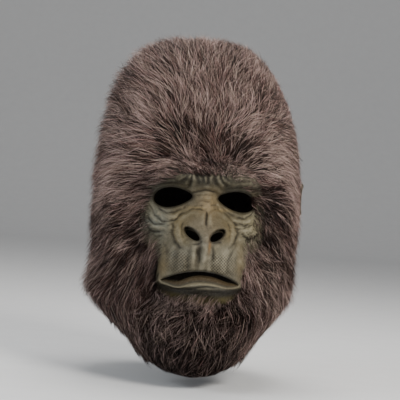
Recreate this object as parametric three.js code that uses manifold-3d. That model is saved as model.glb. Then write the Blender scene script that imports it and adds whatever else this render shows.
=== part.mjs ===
// A gorilla mask that covers the whole head: a moulded rubber face with open eyes, nostrils and mouth,
// a moulded hood round the crown, sides and back, two small moulded ears, and deep fur over everything
// but the face. Millimetres, +Z up, the face looks along -Y. The origin is the inside of the crown, the
// point where the mask sits on the wearer's head.
import * as THREE from "three";
import { mergeVertices } from "three/addons/utils/BufferGeometryUtils.js";
import Module from "manifold-3d";

// Head form, measured on the outside of the moulded wall
const WALL = 3; // thickness of the moulded rubber
const HALF_WIDTH = 95; // axis to the side, at the line of the eyes
const FRONT_REACH = 92; // axis to the forehead
const BACK_REACH = 108; // axis to the back of the head
const EYE_DROP = 148; // inside of the crown down to the line of the eyes
const HEM_DROP = 262; // inside of the crown down to the lower edge
const SIDE_TAPER = 0.16; // share of its width that the head loses from the eyes to the hem
const FRONT_TAPER = 0.26;
const BACK_TAPER = 0.2;
const PLAN_SQUARENESS = 2.3; // exponent of a level section, 2 is an ellipse

// Moulded face
const FACE_ABOVE = 44; // line of the eyes up to the top edge of the face
const FACE_HALF = 66; // middle of the face to its side edge, at the cheeks
const FACE_BELOW = HEM_DROP - EYE_DROP; // line of the eyes down to the edge under the chin
const MUZZLE_REACH = 56; // how far the lips stand out from the head form
const EYE_SPREAD = 64; // between the middles of the eye openings
const EYE_LENGTH = 38;
const EYE_HEIGHT = 22;
const EYE_CORNER_RISE = 4; // inner corner above the outer one
const EYE_NARROWING = 0.45; // share of its height that the opening loses at its inner corner
const NOSTRIL_SPREAD = 25;
const NOSTRIL_LENGTH = 17;
const NOSTRIL_HEIGHT = 7.8;
const NOSTRIL_DROP = 34; // line of the eyes down to the nostrils
const NOSTRIL_TILT = 35; // degrees that the outer end stands above the inner one
const MOUTH_LENGTH = 76;
const MOUTH_GAPE = 9.5; // opening between the lips, at the middle
const MOUTH_DROP = 74; // line of the eyes down to the middle of the mouth
const MOUTH_SAG = 8; // how far the corners of the mouth lie below its middle

// Ears
const EAR_HEIGHT = 40;
const EAR_DEPTH = 25; // front to back
const EAR_STANDOFF = 21; // side of the hood to the top of the rounded form that the ear is cut from
const EAR_SETBACK = 8; // axis back to the middle of the ear
const EAR_RISE = 6; // line of the eyes up to the middle of the ear
const EAR_RIM = 3.4; // wall of the ear's cup

// Fur
const FUR_DEPTH = 27; // how far it stands off the wall at the jaw, where it is deepest
const FUR_EDGE = 3.5; // depth at the hairline round the face
const FUR_RISE = 34; // distance from the hairline over which it grows to full depth
const FUR_FADE = 34; // distance over which it thins to its tips
const FUR_STEP = 7; // how far the tip of a lock stands off the lock below it
const TIP_DEPTH = 1.6; // depth of the last tips
const SIDE_FRINGE = 13; // below the hem at the sides and the back
const BEARD_LENGTH = 60; // below the hem at the chin

// Clearances between pieces
const SEAM_GAP = 0.4; // face to hood, and wall to the backing of the fur
const FUR_SPLIT = 0.35; // between two pieces of fur
const COARSE_GAP = 1; // moulded face to the backing of the fur, which follows it in wider facets
const EAR_GAP = 0.5; // ear to the hood and to the fur round it

const CROWN_Z = WALL;
const EYE_Z = -EYE_DROP;
const HEM_Z = -HEM_DROP;
const CENTRE = new THREE.Vector3(0, 0, EYE_Z + 13); // middle of the head: fur stands along rays from here
const DEG = Math.PI / 180;

const clamp = (value, low, high) => Math.min(high, Math.max(low, value));
const mix = (a, b, share) => a + (b - a) * share;
const smooth = (t) => {
  const s = clamp(t, 0, 1);
  return s * s * (3 - 2 * s);
};

// Value of a named column of a table at a height, by straight lines between its rows
function readTable(rows, key, column, at) {
  const last = rows.length - 1;
  if (at >= rows[0][key]) return rows[0][column];
  if (at <= rows[last][key]) return rows[last][column];
  const next = rows.findIndex((row) => row[key] <= at);
  const [above, below] = [rows[next - 1], rows[next]];
  return mix(above[column], below[column], (above[key] - at) / (above[key] - below[key]));
}

// Level section of the head form: a dome above the eyes, a taper below them
function sectionAt(z) {
  const above = clamp((CROWN_Z - z) / (CROWN_Z - EYE_Z), 0, 1);
  const below = Math.max(0, (EYE_Z - z) / (EYE_Z - HEM_Z));
  const dome = (roundness) => Math.pow(1 - (1 - above) ** 2, 1 / roundness);
  return {
    half: HALF_WIDTH * dome(3.3) * (1 - SIDE_TAPER * below ** 1.6),
    front: FRONT_REACH * dome(2.6) * (1 - FRONT_TAPER * below ** 1.4),
    back: BACK_REACH * dome(2.5) * (1 - BACK_TAPER * below ** 1.5),
  };
}

// How far a level section reaches forward or back at a distance x from the middle
function reachAt(x, z, side) {
  const section = sectionAt(z);
  const across = clamp(Math.abs(x) / section.half, 0, 1);
  return section[side] * Math.pow(1 - across ** PLAN_SQUARENESS, 1 / PLAN_SQUARENESS);
}

// Forms of the face: soft bumps and hollows. x and wide are shares of FACE_HALF, up and tall shares of
// FACE_BELOW measured from the line of the eyes, push a share of MUZZLE_REACH, edge how steep the side is.
const FACE_FORMS = [
  { name: "muzzle", x: 0, up: -0.61, wide: 0.7, tall: 0.35, push: 0.96, edge: 2 },
  { name: "chin", x: 0, up: -0.94, wide: 0.56, tall: 0.18, push: 0.36, edge: 1.5 },
  { name: "brow", x: 0, up: 0.2, wide: 0.84, tall: 0.11, push: 0.26, edge: 1.6 },
  { name: "brow bulge", x: 0.48, up: 0.19, wide: 0.34, tall: 0.09, push: 0.1, edge: 1 },
  { name: "socket", x: 0.5, up: 0, wide: 0.36, tall: 0.13, push: -0.16, edge: 1.4 },
  { name: "bridge", x: 0, up: -0.06, wide: 0.17, tall: 0.18, push: 0.2, edge: 1.3 },
  { name: "nose", x: 0, up: -0.27, wide: 0.42, tall: 0.15, push: 0.26, edge: 2 },
  { name: "nostril wing", x: 0.33, up: -0.3, wide: 0.16, tall: 0.11, push: 0.09, edge: 1 },
  { name: "nostril", x: 0.19, up: -0.31, wide: 0.13, tall: 0.06, push: -0.1, edge: 1 },
  { name: "cheek", x: 0.68, up: -0.21, wide: 0.28, tall: 0.13, push: 0.15, edge: 1.2 },
  { name: "cheek fold", x: 0.56, up: -0.36, wide: 0.13, tall: 0.08, push: -0.06, edge: 1 },
  { name: "upper lip", x: 0, up: -0.575, wide: 0.5, tall: 0.06, push: 0.05, edge: 1.3 },
  { name: "lower lip", x: 0, up: -0.72, wide: 0.52, tall: 0.045, push: 0.07, edge: 1.3 },
  { name: "under lip", x: 0, up: -0.82, wide: 0.4, tall: 0.06, push: -0.07, edge: 1 },
];

// Forward push of the face forms at a place of the front view
function facePush(x, z) {
  let push = 0;
  for (const form of FACE_FORMS) {
    for (const side of form.x ? [-1, 1] : [1]) {
      const across = (x - side * form.x * FACE_HALF) / (form.wide * FACE_HALF);
      const along = (z - EYE_Z - form.up * FACE_BELOW) / (form.tall * FACE_BELOW);
      push += form.push * Math.exp(-((across ** 2 + along ** 2) ** form.edge));
    }
  }
  return MUZZLE_REACH * push;
}

// Point on the outside of the moulded front, above a place of the front view
function frontPoint(x, z) {
  return new THREE.Vector3(x, -reachAt(x, z, "front") - facePush(x, z), z);
}

// Point where a ray leaves the head form, with the face forms added
function surfaceAlong(direction) {
  let [near, far] = [0, 2 * HEM_DROP];
  for (let step = 0; step < 36; step++) {
    const reach = (near + far) / 2;
    const p = direction.clone().multiplyScalar(reach).add(CENTRE);
    const section = sectionAt(p.z);
    const outside =
      p.z > CROWN_Z ||
      (Math.abs(p.x) / section.half) ** PLAN_SQUARENESS +
        (Math.abs(p.y) / (p.y < 0 ? section.front : section.back)) ** PLAN_SQUARENESS >
        1;
    if (outside) far = reach;
    else near = reach;
  }
  const p = direction.clone().multiplyScalar(near).add(CENTRE);
  p.y -= facePush(p.x, p.z) * smooth(-p.y / (0.4 * FRONT_REACH));
  return p;
}

// Point at an azimuth from the front and a height, on the outside of the wall
function surfaceAt(azimuth, z) {
  const section = sectionAt(z);
  const [s, c] = [Math.sin(azimuth), Math.cos(azimuth)];
  const reach = c > 0 ? section.front : section.back;
  const scale =
    ((Math.abs(s) / section.half) ** PLAN_SQUARENESS + (Math.abs(c) / reach) ** PLAN_SQUARENESS) **
    (-1 / PLAN_SQUARENESS);
  const p = new THREE.Vector3(scale * s, -scale * c, z);
  p.y -= facePush(p.x, p.z) * smooth(-p.y / (0.4 * FRONT_REACH));
  return p;
}

// How far a surface may move where needless facets are merged
const SKIN_TOLERANCE = 0.04;
const FUR_TOLERANCE = SEAM_GAP / 4;

const wasm = await Module();
wasm.setup();

function solidOf(geometry) {
  const bare = geometry.clone();
  bare.deleteAttribute("normal");
  bare.deleteAttribute("uv");
  const merged = mergeVertices(bare, 1e-3);
  return new wasm.Manifold(
    new wasm.Mesh({
      numProp: 3,
      vertProperties: merged.attributes.position.array,
      triVerts: new Uint32Array(merged.index.array),
    }),
  );
}

// Solid from points and triangles, turned so that its faces point out
function solidFrom(points, triangles) {
  const cross = new THREE.Vector3();
  const volume = triangles.reduce(
    (sum, [a, b, c]) => sum + points[a].dot(cross.crossVectors(points[b], points[c])),
    0,
  );
  const turned = volume < 0 ? triangles.map(([a, b, c]) => [a, c, b]) : triangles;
  const geometry = new THREE.BufferGeometry();
  const flat = points.flatMap((p) => [p.x, p.y, p.z]);
  geometry.setAttribute("position", new THREE.Float32BufferAttribute(flat, 3));
  geometry.setIndex(turned.flat());
  return solidOf(geometry);
}

function geometryOf(solid, tolerance) {
  const mesh = solid.simplify(tolerance).getMesh();
  const geometry = new THREE.BufferGeometry();
  const positions = Float32Array.from(mesh.vertProperties);
  geometry.setAttribute("position", new THREE.BufferAttribute(positions, 3));
  geometry.setIndex(new THREE.BufferAttribute(mesh.triVerts, 1));
  geometry.computeVertexNormals();
  return geometry;
}

// Triangles of a grid of points counted row by row from a first index; a wrapped grid joins its sides
function gridTriangles(rows, columns, first, wrap = false) {
  const triangles = [];
  for (let i = 0; i + 1 < rows; i++) {
    for (let j = 0; j + (wrap ? 0 : 1) < columns; j++) {
      const [a, b] = [first + i * columns + j, first + i * columns + ((j + 1) % columns)];
      triangles.push([a, b, b + columns], [a, b + columns, a + columns]);
    }
  }
  return triangles;
}

// Strip between two lines of points that run the same way, each a list of indices, along the shorter diagonals
function zipTriangles(points, a, b) {
  const triangles = [];
  let [i, j] = [0, 0];
  const gap = (p, q) => points[p].distanceTo(points[q]);
  while (i < a.length - 1 || j < b.length - 1) {
    const [endA, endB] = [i === a.length - 1, j === b.length - 1];
    if (endB || (!endA && gap(a[i + 1], b[j]) < gap(a[i], b[j + 1]))) triangles.push([a[i + 1], a[i++], b[j]]);
    else triangles.push([a[i], b[j], b[++j]]);
  }
  return triangles;
}

// Closed layer between an outer and an inner grid of points; the two have the same number of columns
function layer(outer, inner) {
  const columns = outer[0].length;
  const first = outer.length * columns;
  const across = (start, row) => Array.from({ length: columns }, (_, j) => start + row * columns + j);
  const down = (start, rows, column) => Array.from({ length: rows }, (_, i) => start + i * columns + column);
  const rim = (start, rows) => [
    across(start, 0),
    down(start, rows, columns - 1),
    across(start, rows - 1).reverse(),
    down(start, rows, 0).reverse(),
  ];
  const [outerRim, innerRim] = [rim(0, outer.length), rim(first, inner.length)];
  const points = [...outer.flat(), ...inner.flat()];
  return solidFrom(points, [
    ...gridTriangles(outer.length, columns, 0),
    ...gridTriangles(inner.length, columns, first).map(([a, b, c]) => [a, c, b]),
    ...outerRim.flatMap((line, k) => zipTriangles(points, line, innerRim[k])),
  ]);
}

// Bar along Y through the front of the head, with an outline drawn as x and z of the front view
function frontBar(outline) {
  const shape = new THREE.Shape(outline.map(([x, z]) => new THREE.Vector2(x, z)));
  const geometry = new THREE.ExtrudeGeometry(shape, {
    depth: FRONT_REACH + 2 * MUZZLE_REACH,
    bevelEnabled: false,
  });
  return solidOf(geometry.rotateX(Math.PI / 2));
}

// Outline of the moulded face in the front view: half-width as a share of FACE_HALF at heights above the
// line of the eyes, as a share of FACE_BELOW
const FACE_TOP = FACE_ABOVE / FACE_BELOW;
const FACE_OUTLINE = [
  { up: FACE_TOP, half: 0.62 },
  { up: 0.3, half: 0.8 },
  { up: 0.12, half: 0.95 },
  { up: -0.1, half: 1 },
  { up: -0.5, half: 0.98 },
  { up: -0.8, half: 0.93 },
  { up: -1, half: 0.86 },
];
const FACE_ROWS = 29;
const FACE_COLUMNS = 25;

const faceHalfAt = (z) => FACE_HALF * readTable(FACE_OUTLINE, "up", "half", (z - EYE_Z) / FACE_BELOW);

// Points of the moulded front, row by row from the top edge
function faceGrid() {
  return Array.from({ length: FACE_ROWS }, (_, i) => {
    const z = EYE_Z + mix(FACE_ABOVE, -FACE_BELOW, i / (FACE_ROWS - 1));
    return Array.from({ length: FACE_COLUMNS }, (_, j) =>
      frontPoint(faceHalfAt(z) * (-1 + (2 * j) / (FACE_COLUMNS - 1)), z),
    );
  });
}

// The face grid moved along its outward normals
function faceOffset(distance) {
  const grid = faceGrid();
  return grid.map((row, i) =>
    row.map((p, j) => {
      const across = grid[i][Math.min(j + 1, FACE_COLUMNS - 1)].clone().sub(grid[i][Math.max(j - 1, 0)]);
      const down = grid[Math.min(i + 1, FACE_ROWS - 1)][j].clone().sub(grid[Math.max(i - 1, 0)][j]);
      return p.clone().addScaledVector(down.cross(across).normalize(), distance);
    }),
  );
}

const CUT_STEPS = 20;

// Eye opening: an oval that narrows towards its inner corner, which stands a little higher
function eyeOutline(side) {
  return Array.from({ length: CUT_STEPS }, (_, k) => {
    const angle = side * ((2 * Math.PI * k) / CUT_STEPS);
    const inward = (1 - Math.cos(angle)) / 2;
    const x = EYE_SPREAD / 2 + (EYE_LENGTH / 2) * Math.cos(angle);
    const height = (EYE_HEIGHT / 2) * (1 - EYE_NARROWING * inward ** 2);
    return [side * x, EYE_Z + side * height * Math.sin(angle) + EYE_CORNER_RISE * (inward - 0.5)];
  });
}

// Nostril: an oval whose outer end stands up
function nostrilOutline(side) {
  const [c, s] = [Math.cos(NOSTRIL_TILT * DEG), Math.sin(NOSTRIL_TILT * DEG)];
  return Array.from({ length: CUT_STEPS }, (_, k) => {
    const angle = (2 * Math.PI * k) / CUT_STEPS;
    const [along, over] = [(NOSTRIL_LENGTH / 2) * Math.cos(angle), (NOSTRIL_HEIGHT / 2) * Math.sin(angle)];
    const x = NOSTRIL_SPREAD / 2 + along * c - over * s;
    return [side * x, EYE_Z - NOSTRIL_DROP + along * s + over * c];
  });
}

// Mouth: a crescent whose corners lie below its middle
function mouthOutline() {
  const edge = (share, way) => {
    const gape = (MOUTH_GAPE / 2) * (1 - share ** 2) ** 0.7;
    return [(MOUTH_LENGTH / 2) * share, EYE_Z - MOUTH_DROP - MOUTH_SAG * share ** 2 + way * gape];
  };
  const shares = Array.from({ length: CUT_STEPS }, (_, k) => -1 + (2 * k) / CUT_STEPS);
  return [...shares.map((share) => edge(share, -1)), ...shares.map((share) => edge(-share, 1))];
}

function facePiece() {
  const hollow = faceOffset(-WALL).filter((row, i) => i % 2 === 0);
  const trimmed = hollow.map((row, i) =>
    row.map((p) => {
      const z = i === hollow.length - 1 ? HEM_Z : clamp(p.z, HEM_Z, EYE_Z + FACE_ABOVE);
      return new THREE.Vector3(clamp(p.x, -faceHalfAt(z), faceHalfAt(z)), p.y, z);
    }),
  );
  const outlines = [eyeOutline(-1), eyeOutline(1), nostrilOutline(-1), nostrilOutline(1), mouthOutline()];
  return outlines.reduce((face, outline) => face.subtract(frontBar(outline)), layer(faceGrid(), trimmed));
}

// The opening that the face fills, as a bar through the front of the hood
function faceWindow(gap) {
  const right = FACE_OUTLINE.map(({ up, half }) => [half * FACE_HALF + gap, EYE_Z + up * FACE_BELOW]);
  right[0][1] += gap;
  right[right.length - 1][1] -= 2 * WALL;
  return frontBar([...right.map(([x, z]) => [-x, z]), ...right.reverse()]);
}

const DOME_RINGS = 10;
const SKIRT_RINGS = 4;
const HOOD_COLUMNS = 32;

// Closed form inside an offset of the head form, from the crown down to a level base
function headForm(offset, base) {
  const dome = Array.from({ length: DOME_RINGS }, (_, i) => {
    const angle = (Math.PI / 2) * ((i + 1) / DOME_RINGS);
    return mix(EYE_Z, CROWN_Z, Math.cos(angle));
  });
  const skirt = Array.from({ length: SKIRT_RINGS }, (_, i) => mix(EYE_Z, base, (i + 1) / SKIRT_RINGS));
  const points = [new THREE.Vector3(0, 0, CROWN_Z + offset)];
  for (const z of [...dome, ...skirt]) {
    for (let j = 0; j < HOOD_COLUMNS; j++) {
      const azimuth = (2 * Math.PI * (j + 0.5)) / HOOD_COLUMNS;
      const p = surfaceAt(azimuth, z);
      const sideways = surfaceAt(azimuth + 0.01, z).sub(surfaceAt(azimuth - 0.01, z));
      const upward = surfaceAt(azimuth, z + 0.4).sub(surfaceAt(azimuth, z - 0.4));
      p.addScaledVector(sideways.cross(upward).normalize(), offset);
      points.push(p);
    }
  }
  for (const p of points.slice(-HOOD_COLUMNS)) p.z = base;
  points.push(new THREE.Vector3(0, 0, base));
  const last = points.length - 1;
  const triangles = gridTriangles(DOME_RINGS + SKIRT_RINGS, HOOD_COLUMNS, 1, true);
  for (let j = 0; j < HOOD_COLUMNS; j++) {
    const next = (j + 1) % HOOD_COLUMNS;
    triangles.push([0, 1 + next, 1 + j]);
    triangles.push([last, last - HOOD_COLUMNS + j, last - HOOD_COLUMNS + next]);
  }
  return solidFrom(points, triangles);
}

function hoodPiece() {
  return headForm(0, HEM_Z)
    .subtract(headForm(-WALL, HEM_Z - WALL))
    .subtract(faceWindow(SEAM_GAP));
}

// The whole head, solid and grown by a gap: what the fur is cut to. Its front is a coarser face.
function furCore() {
  const coarse = faceOffset(COARSE_GAP).map((row) => row.filter((point, j) => j % 2 === 0));
  const front = coarse.map((row, i) =>
    row.map((p, j) => {
      const sideways = j === 0 ? -WALL : j === row.length - 1 ? WALL : 0;
      const along = i === 0 ? WALL : i === coarse.length - 1 ? -SEAM_GAP : 0;
      return new THREE.Vector3(p.x + sideways, p.y, p.z + along);
    }),
  );
  const behind = front.map((row) => row.map((p) => new THREE.Vector3(p.x, 0, p.z)));
  return headForm(SEAM_GAP, HEM_Z - SEAM_GAP).subtract(faceWindow(-WALL)).add(layer(front, behind));
}

// Hairline round the face in the front view, in the same shares as the outline of the face
const HAIRLINE = [
  { up: 0.335, half: 0 },
  { up: 0.325, half: 0.28 },
  { up: 0.29, half: 0.47 },
  { up: 0.22, half: 0.66 },
  { up: 0.12, half: 0.81 },
  { up: -0.04, half: 0.87 },
  { up: -0.24, half: 0.83 },
  { up: -0.42, half: 0.7 },
  { up: -0.57, half: 0.64 },
  { up: -0.72, half: 0.66 },
  { up: -0.82, half: 0.62 },
  { up: -0.87, half: 0.44 },
  { up: -0.885, half: 0 },
];
const beyondHairline = (p) =>
  p.y > 0 || Math.abs(p.x) >= FACE_HALF * readTable(HAIRLINE, "up", "half", (p.z - EYE_Z) / FACE_BELOW);

// Flow of the fur: circles on a sphere round the middle of the head. All of them start at a point in the
// face and end at a point in the neck, so that the fur runs up from the brow and over the crown, back from
// the temples and down from the chin. Angles are below the level of the middle of the head.
const FLOW_START = 24;
const FLOW_END = 100;

// Ray from the middle of the head at a place of the flow; turn is 0 over the crown and PI down the chin
function flowRay(turn, flow) {
  const middle = ((FLOW_START + FLOW_END) / 2) * DEG;
  const spread = Math.tan(((FLOW_END - FLOW_START) / 4) * DEG);
  const [u, v] = [Math.exp(flow) * Math.cos(turn), Math.exp(flow) * Math.sin(turn)];
  const [a, b, c, d] = [-spread * (1 + u), -spread * v, 1 - u, -v];
  const size = a * a + b * b + c * c + d * d;
  const along = (2 * (a * c + b * d)) / size;
  const across = (2 * (b * c - a * d)) / size;
  const toward = (c * c + d * d - a * a - b * b) / size;
  const [cos, sin] = [Math.cos(middle), Math.sin(middle)];
  return new THREE.Vector3(-across, along * sin - toward * cos, -along * cos - toward * sin);
}

// First value on the way from one to another where a test holds
function firstWhere(test, from, to) {
  const steps = 90;
  for (let k = 1; k <= steps; k++) {
    let [miss, hit] = [mix(from, to, (k - 1) / steps), mix(from, to, k / steps)];
    if (!test(hit)) continue;
    for (let n = 0; n < 20; n++) {
      const half = (miss + hit) / 2;
      if (test(half)) hit = half;
      else miss = half;
    }
    return hit;
  }
  return to;
}

// Lowest tips of the fur at the front: how far they hang, as a share of BEARD_LENGTH, at distances from the
// middle as a share of HALF_WIDTH
const FRINGE = [
  { out: 1, hang: SIDE_FRINGE / BEARD_LENGTH },
  { out: 0.8, hang: 0.3 },
  { out: 0.62, hang: 0.55 },
  { out: 0.47, hang: 0.8 },
  { out: 0.25, hang: 0.96 },
  { out: 0, hang: 1 },
];

// Depth of the fur at full growth, as a share of FUR_DEPTH, at heights as a share of HEM_DROP
const FUR_LOFT = [
  { up: 0, depth: 0.74 },
  { up: -0.4, depth: 0.62 },
  { up: -0.57, depth: 0.58 },
  { up: -0.76, depth: 0.66 },
  { up: -0.9, depth: 0.88 },
  { up: -1, depth: 1 },
];

// Path of the fur's backing along the flow, from the hairline over the wall to the hem and down to the tip.
// An early start lies inside the hairline.
function furPath(turn, early = 0) {
  const at = (flow) => surfaceAlong(flowRay(turn, flow));
  const start = firstWhere((flow) => beyondHairline(at(flow)), -4, 4) - early;
  const end = firstWhere((flow) => at(flow).z > HEM_Z, 5, start);
  const steps = 26;
  const points = Array.from({ length: steps + 1 }, (_, k) => at(mix(start, end, k / steps)));
  const hem = points[steps];
  const out = hem.y < 0 ? Math.abs(hem.x) / HALF_WIDTH : 1;
  points.push(hem.clone().setZ(HEM_Z - BEARD_LENGTH * readTable(FRINGE, "out", "hang", out)));
  const lengths = [0];
  points.forEach((p, k) => k && lengths.push(lengths[k - 1] + p.distanceTo(points[k - 1])));
  return { points, lengths, hem: lengths[steps], total: lengths[steps + 1] };
}

// Point at a distance along a path, a depth of fur outwards from it
function furPoint(path, distance, depth) {
  const k = clamp(path.lengths.findIndex((length) => length > distance), 1, path.lengths.length - 1);
  const step = distance >= path.total ? path.lengths.length - 1 : k;
  const share = (distance - path.lengths[step - 1]) / (path.lengths[step] - path.lengths[step - 1]);
  const p = path.points[step - 1].clone().lerp(path.points[step], clamp(share, 0, 1));
  const outward = p.clone().setZ(p.z - Math.min(p.z, CENTRE.z)).normalize();
  return p.addScaledVector(outward, depth);
}

// Full depth of the fur at a distance along a path
function furDepth(path, distance) {
  const z = furPoint(path, distance, 0).z;
  const full = FUR_DEPTH * readTable(FUR_LOFT, "up", "depth", z / HEM_DROP);
  const grown = mix(FUR_EDGE, full, smooth(distance / FUR_RISE));
  return mix(TIP_DEPTH, grown, clamp((path.total - distance) / FUR_FADE, 0, 1) ** 0.6);
}

const LOCK_GROWTH = 1.3;
const LOCK_POINT = 0.36; // how far the tip of a lock runs past the dip beside it, as a share of a ring
const SECTOR_ROWS = 10;
const SECTOR_LAP = 3; // degrees that a piece of fur is made too wide before it is trimmed to its sector

const fan = (from, to, columns, early) =>
  Array.from({ length: columns }, (_, j) => furPath(mix(from, to, j / (columns - 1)) * DEG, early));

// Room between two turns of the flow, from under the wall to well above the fur: what a piece is trimmed to
function furSector({ from, to, columns }) {
  const margin = FUR_SPLIT / 2 / FACE_HALF / DEG;
  const paths = fan(from + margin, to - margin, columns, 0.3);
  const rows = (depth) => {
    const grid = Array.from({ length: SECTOR_ROWS }, (_, i) =>
      paths.map((path) => furPoint(path, path.total * (i / (SECTOR_ROWS - 1)), depth)),
    );
    return [...grid, grid[SECTOR_ROWS - 1].map((p) => p.clone().setZ(p.z - FUR_DEPTH))];
  };
  return layer(rows(2 * FUR_DEPTH), rows(-6 * WALL));
}

// Distance along a path to the tips of a ring; the locks grow longer away from the face
const lockReach = (path, ring, rings) => path.total * (ring / rings) ** LOCK_GROWTH;

// Fur a little wider than its sector: rings of pointed locks, each lying over the roots of the next ring
function furBlank({ from, to, columns, rings, backing }) {
  const paths = fan(from - SECTOR_LAP, to + SECTOR_LAP, columns, 0);
  const outer = [];
  for (let ring = 0; ring <= rings; ring++) {
    const [tips, roots] = [[], []];
    paths.forEach((path, j) => {
      const inside = ring > 0 && ring < rings;
      const point = (ring + j) % 2 ? LOCK_POINT : -LOCK_POINT;
      const distance = lockReach(path, ring + (ring > 0 ? Math.min(point, inside ? 1 : 0) : 0), rings);
      const depth = furDepth(path, distance);
      const lift = Math.min(FUR_STEP / 2, depth / 3);
      tips.push(furPoint(path, distance, inside ? depth + lift : depth));
      roots.push(furPoint(path, distance, inside ? depth - lift : depth));
    });
    outer.push(tips);
    if (ring > 0 && ring < rings) outer.push(roots);
  }
  const inner = [];
  for (let row = 0; row <= backing; row++) {
    inner.push(paths.map((path) => furPoint(path, (path.hem - WALL) * (row / backing), -4 * WALL)));
  }
  inner.push(paths.map((path) => furPoint(path, path.hem + WALL / 2, SEAM_GAP)));
  inner.push(paths.map((path) => furPoint(path, mix(path.hem, path.total, 0.6), SEAM_GAP)));
  inner.push(
    paths.map((path, j) => furPoint(path, lockReach(path, rings - ((rings + j) % 2 ? 0 : LOCK_POINT), rings), 0)),
  );
  return layer(outer, inner);
}

const FUR_PIECES = [
  { name: "crown_fur", from: -46, to: 46, columns: 21, rings: 12, backing: 8, colour: 0x5d4b44 },
  { name: "side_fur_left", from: -132, to: -46, columns: 12, rings: 8, backing: 5, colour: 0x4b3d38 },
  { name: "side_fur_right", from: 46, to: 132, columns: 12, rings: 8, backing: 5, colour: 0x4b3d38 },
  { name: "chin_beard", from: 132, to: 228, columns: 15, rings: 4, backing: 2, colour: 0x382d29 },
];

// Half-width of the head form at a distance behind the axis
function reachAcross(y, z) {
  const section = sectionAt(z);
  return section.half * (1 - (Math.abs(y) / section.back) ** PLAN_SQUARENESS) ** (1 / PLAN_SQUARENESS);
}

const earAnchor = (side) => [side * reachAcross(EAR_SETBACK, EYE_Z + EAR_RISE), EAR_SETBACK, EYE_Z + EAR_RISE];
const egg = (geometry, grow) =>
  geometry.scale(EAR_STANDOFF + grow, EAR_DEPTH / 2 + grow, EAR_HEIGHT / 2 + grow);

// Ear: a cup that opens outwards, deeper towards the front
function earForm(side) {
  const ball = () => new THREE.SphereGeometry(1, 12, 7);
  const [x, y, z] = earAnchor(side);
  const cup = egg(ball(), 0).translate(x, y, z);
  const hollow = egg(ball(), -EAR_RIM).translate(x + side * EAR_STANDOFF, y - EAR_RIM / 3, z);
  return solidOf(cup).subtract(solidOf(hollow));
}

// Room that the fur leaves round an ear: the ear's form grown by its gap and open to the side
function earPocket(side) {
  const [x, y, z] = earAnchor(side);
  const ball = egg(new THREE.SphereGeometry(1, 12, 7), EAR_GAP).translate(x, y, z);
  const throat = egg(new THREE.CylinderGeometry(1.25, 1, 2, 12).rotateZ((-side * Math.PI) / 2), EAR_GAP);
  return solidOf(ball).add(solidOf(throat.translate(x + side * EAR_STANDOFF, y, z)));
}

// The largest body of a solid: leaves out stray tips of locks that a cut has parted from their piece
function largestBody(solid) {
  return solid.decompose().reduce((largest, body) => (body.volume() > largest.volume() ? body : largest));
}

function pieceMesh(name, solid, tolerance, color, roughness) {
  const material = new THREE.MeshStandardMaterial({ color, roughness, metalness: 0 });
  const mesh = new THREE.Mesh(geometryOf(solid, tolerance), material);
  mesh.name = name;
  return mesh;
}

const mask = new THREE.Group();
mask.name = "gorilla_mask";
const SKIN = 0x70664f;
const EAR_SKIN = 0x4c4536;
const LINING = 0x2b2523;
mask.add(pieceMesh("face_skin", facePiece(), SKIN_TOLERANCE, SKIN, 0.55));
mask.add(pieceMesh("hood_shell", hoodPiece(), SKIN_TOLERANCE, LINING, 0.8));
const seat = headForm(EAR_GAP, HEM_Z);
for (const side of [-1, 1]) {
  const ear = earForm(side).subtract(seat);
  mask.add(pieceMesh(side < 0 ? "ear_left" : "ear_right", ear, SKIN_TOLERANCE, EAR_SKIN, 0.55));
}
const core = furCore().add(earPocket(-1)).add(earPocket(1));
for (const piece of FUR_PIECES) {
  const fur = furBlank(piece).intersect(furSector(piece)).subtract(core);
  mask.add(pieceMesh(piece.name, largestBody(fur), FUR_TOLERANCE, piece.colour, 0.95));
}

export default mask;
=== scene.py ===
import math

import bpy
import numpy as np
from mathutils import Matrix, Vector


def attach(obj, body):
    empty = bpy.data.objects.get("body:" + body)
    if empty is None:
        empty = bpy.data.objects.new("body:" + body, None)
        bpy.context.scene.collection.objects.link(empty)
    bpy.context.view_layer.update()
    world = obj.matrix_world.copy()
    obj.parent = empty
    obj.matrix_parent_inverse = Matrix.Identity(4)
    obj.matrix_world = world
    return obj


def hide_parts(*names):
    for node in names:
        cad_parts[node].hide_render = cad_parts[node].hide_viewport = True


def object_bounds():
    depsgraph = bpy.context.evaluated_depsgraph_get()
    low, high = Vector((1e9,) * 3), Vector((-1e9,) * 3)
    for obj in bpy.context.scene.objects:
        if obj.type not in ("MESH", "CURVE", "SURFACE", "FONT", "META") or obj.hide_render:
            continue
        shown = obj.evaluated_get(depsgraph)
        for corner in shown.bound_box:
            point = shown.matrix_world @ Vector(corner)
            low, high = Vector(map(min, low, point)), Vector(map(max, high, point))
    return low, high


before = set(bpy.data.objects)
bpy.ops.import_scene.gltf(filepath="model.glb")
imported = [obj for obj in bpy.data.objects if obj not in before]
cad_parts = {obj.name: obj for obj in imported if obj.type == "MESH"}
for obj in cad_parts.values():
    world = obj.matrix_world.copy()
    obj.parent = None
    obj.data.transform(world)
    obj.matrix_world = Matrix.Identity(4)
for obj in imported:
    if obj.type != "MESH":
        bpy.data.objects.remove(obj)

CAD_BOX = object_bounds()
MM = 0.001
SEED = 5

# Camera and lights
EYE_LINE = Vector((-0.005, -0.085, -0.149))
AZIMUTH, ELEVATION, ROLL = math.radians(-3.2), math.radians(0.8), math.radians(4.3)
DISTANCE, LENS, SENSOR = 1.308, 117.7, 36


def aim(position, target, roll=0.0):
    """World matrix that looks from a point to another, turned about its own axis by roll."""
    turn = (Vector(target) - Vector(position)).to_track_quat("-Z", "Y").to_matrix().to_4x4()
    return Matrix.Translation(position) @ turn @ Matrix.Rotation(roll, 4, "Z")


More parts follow.
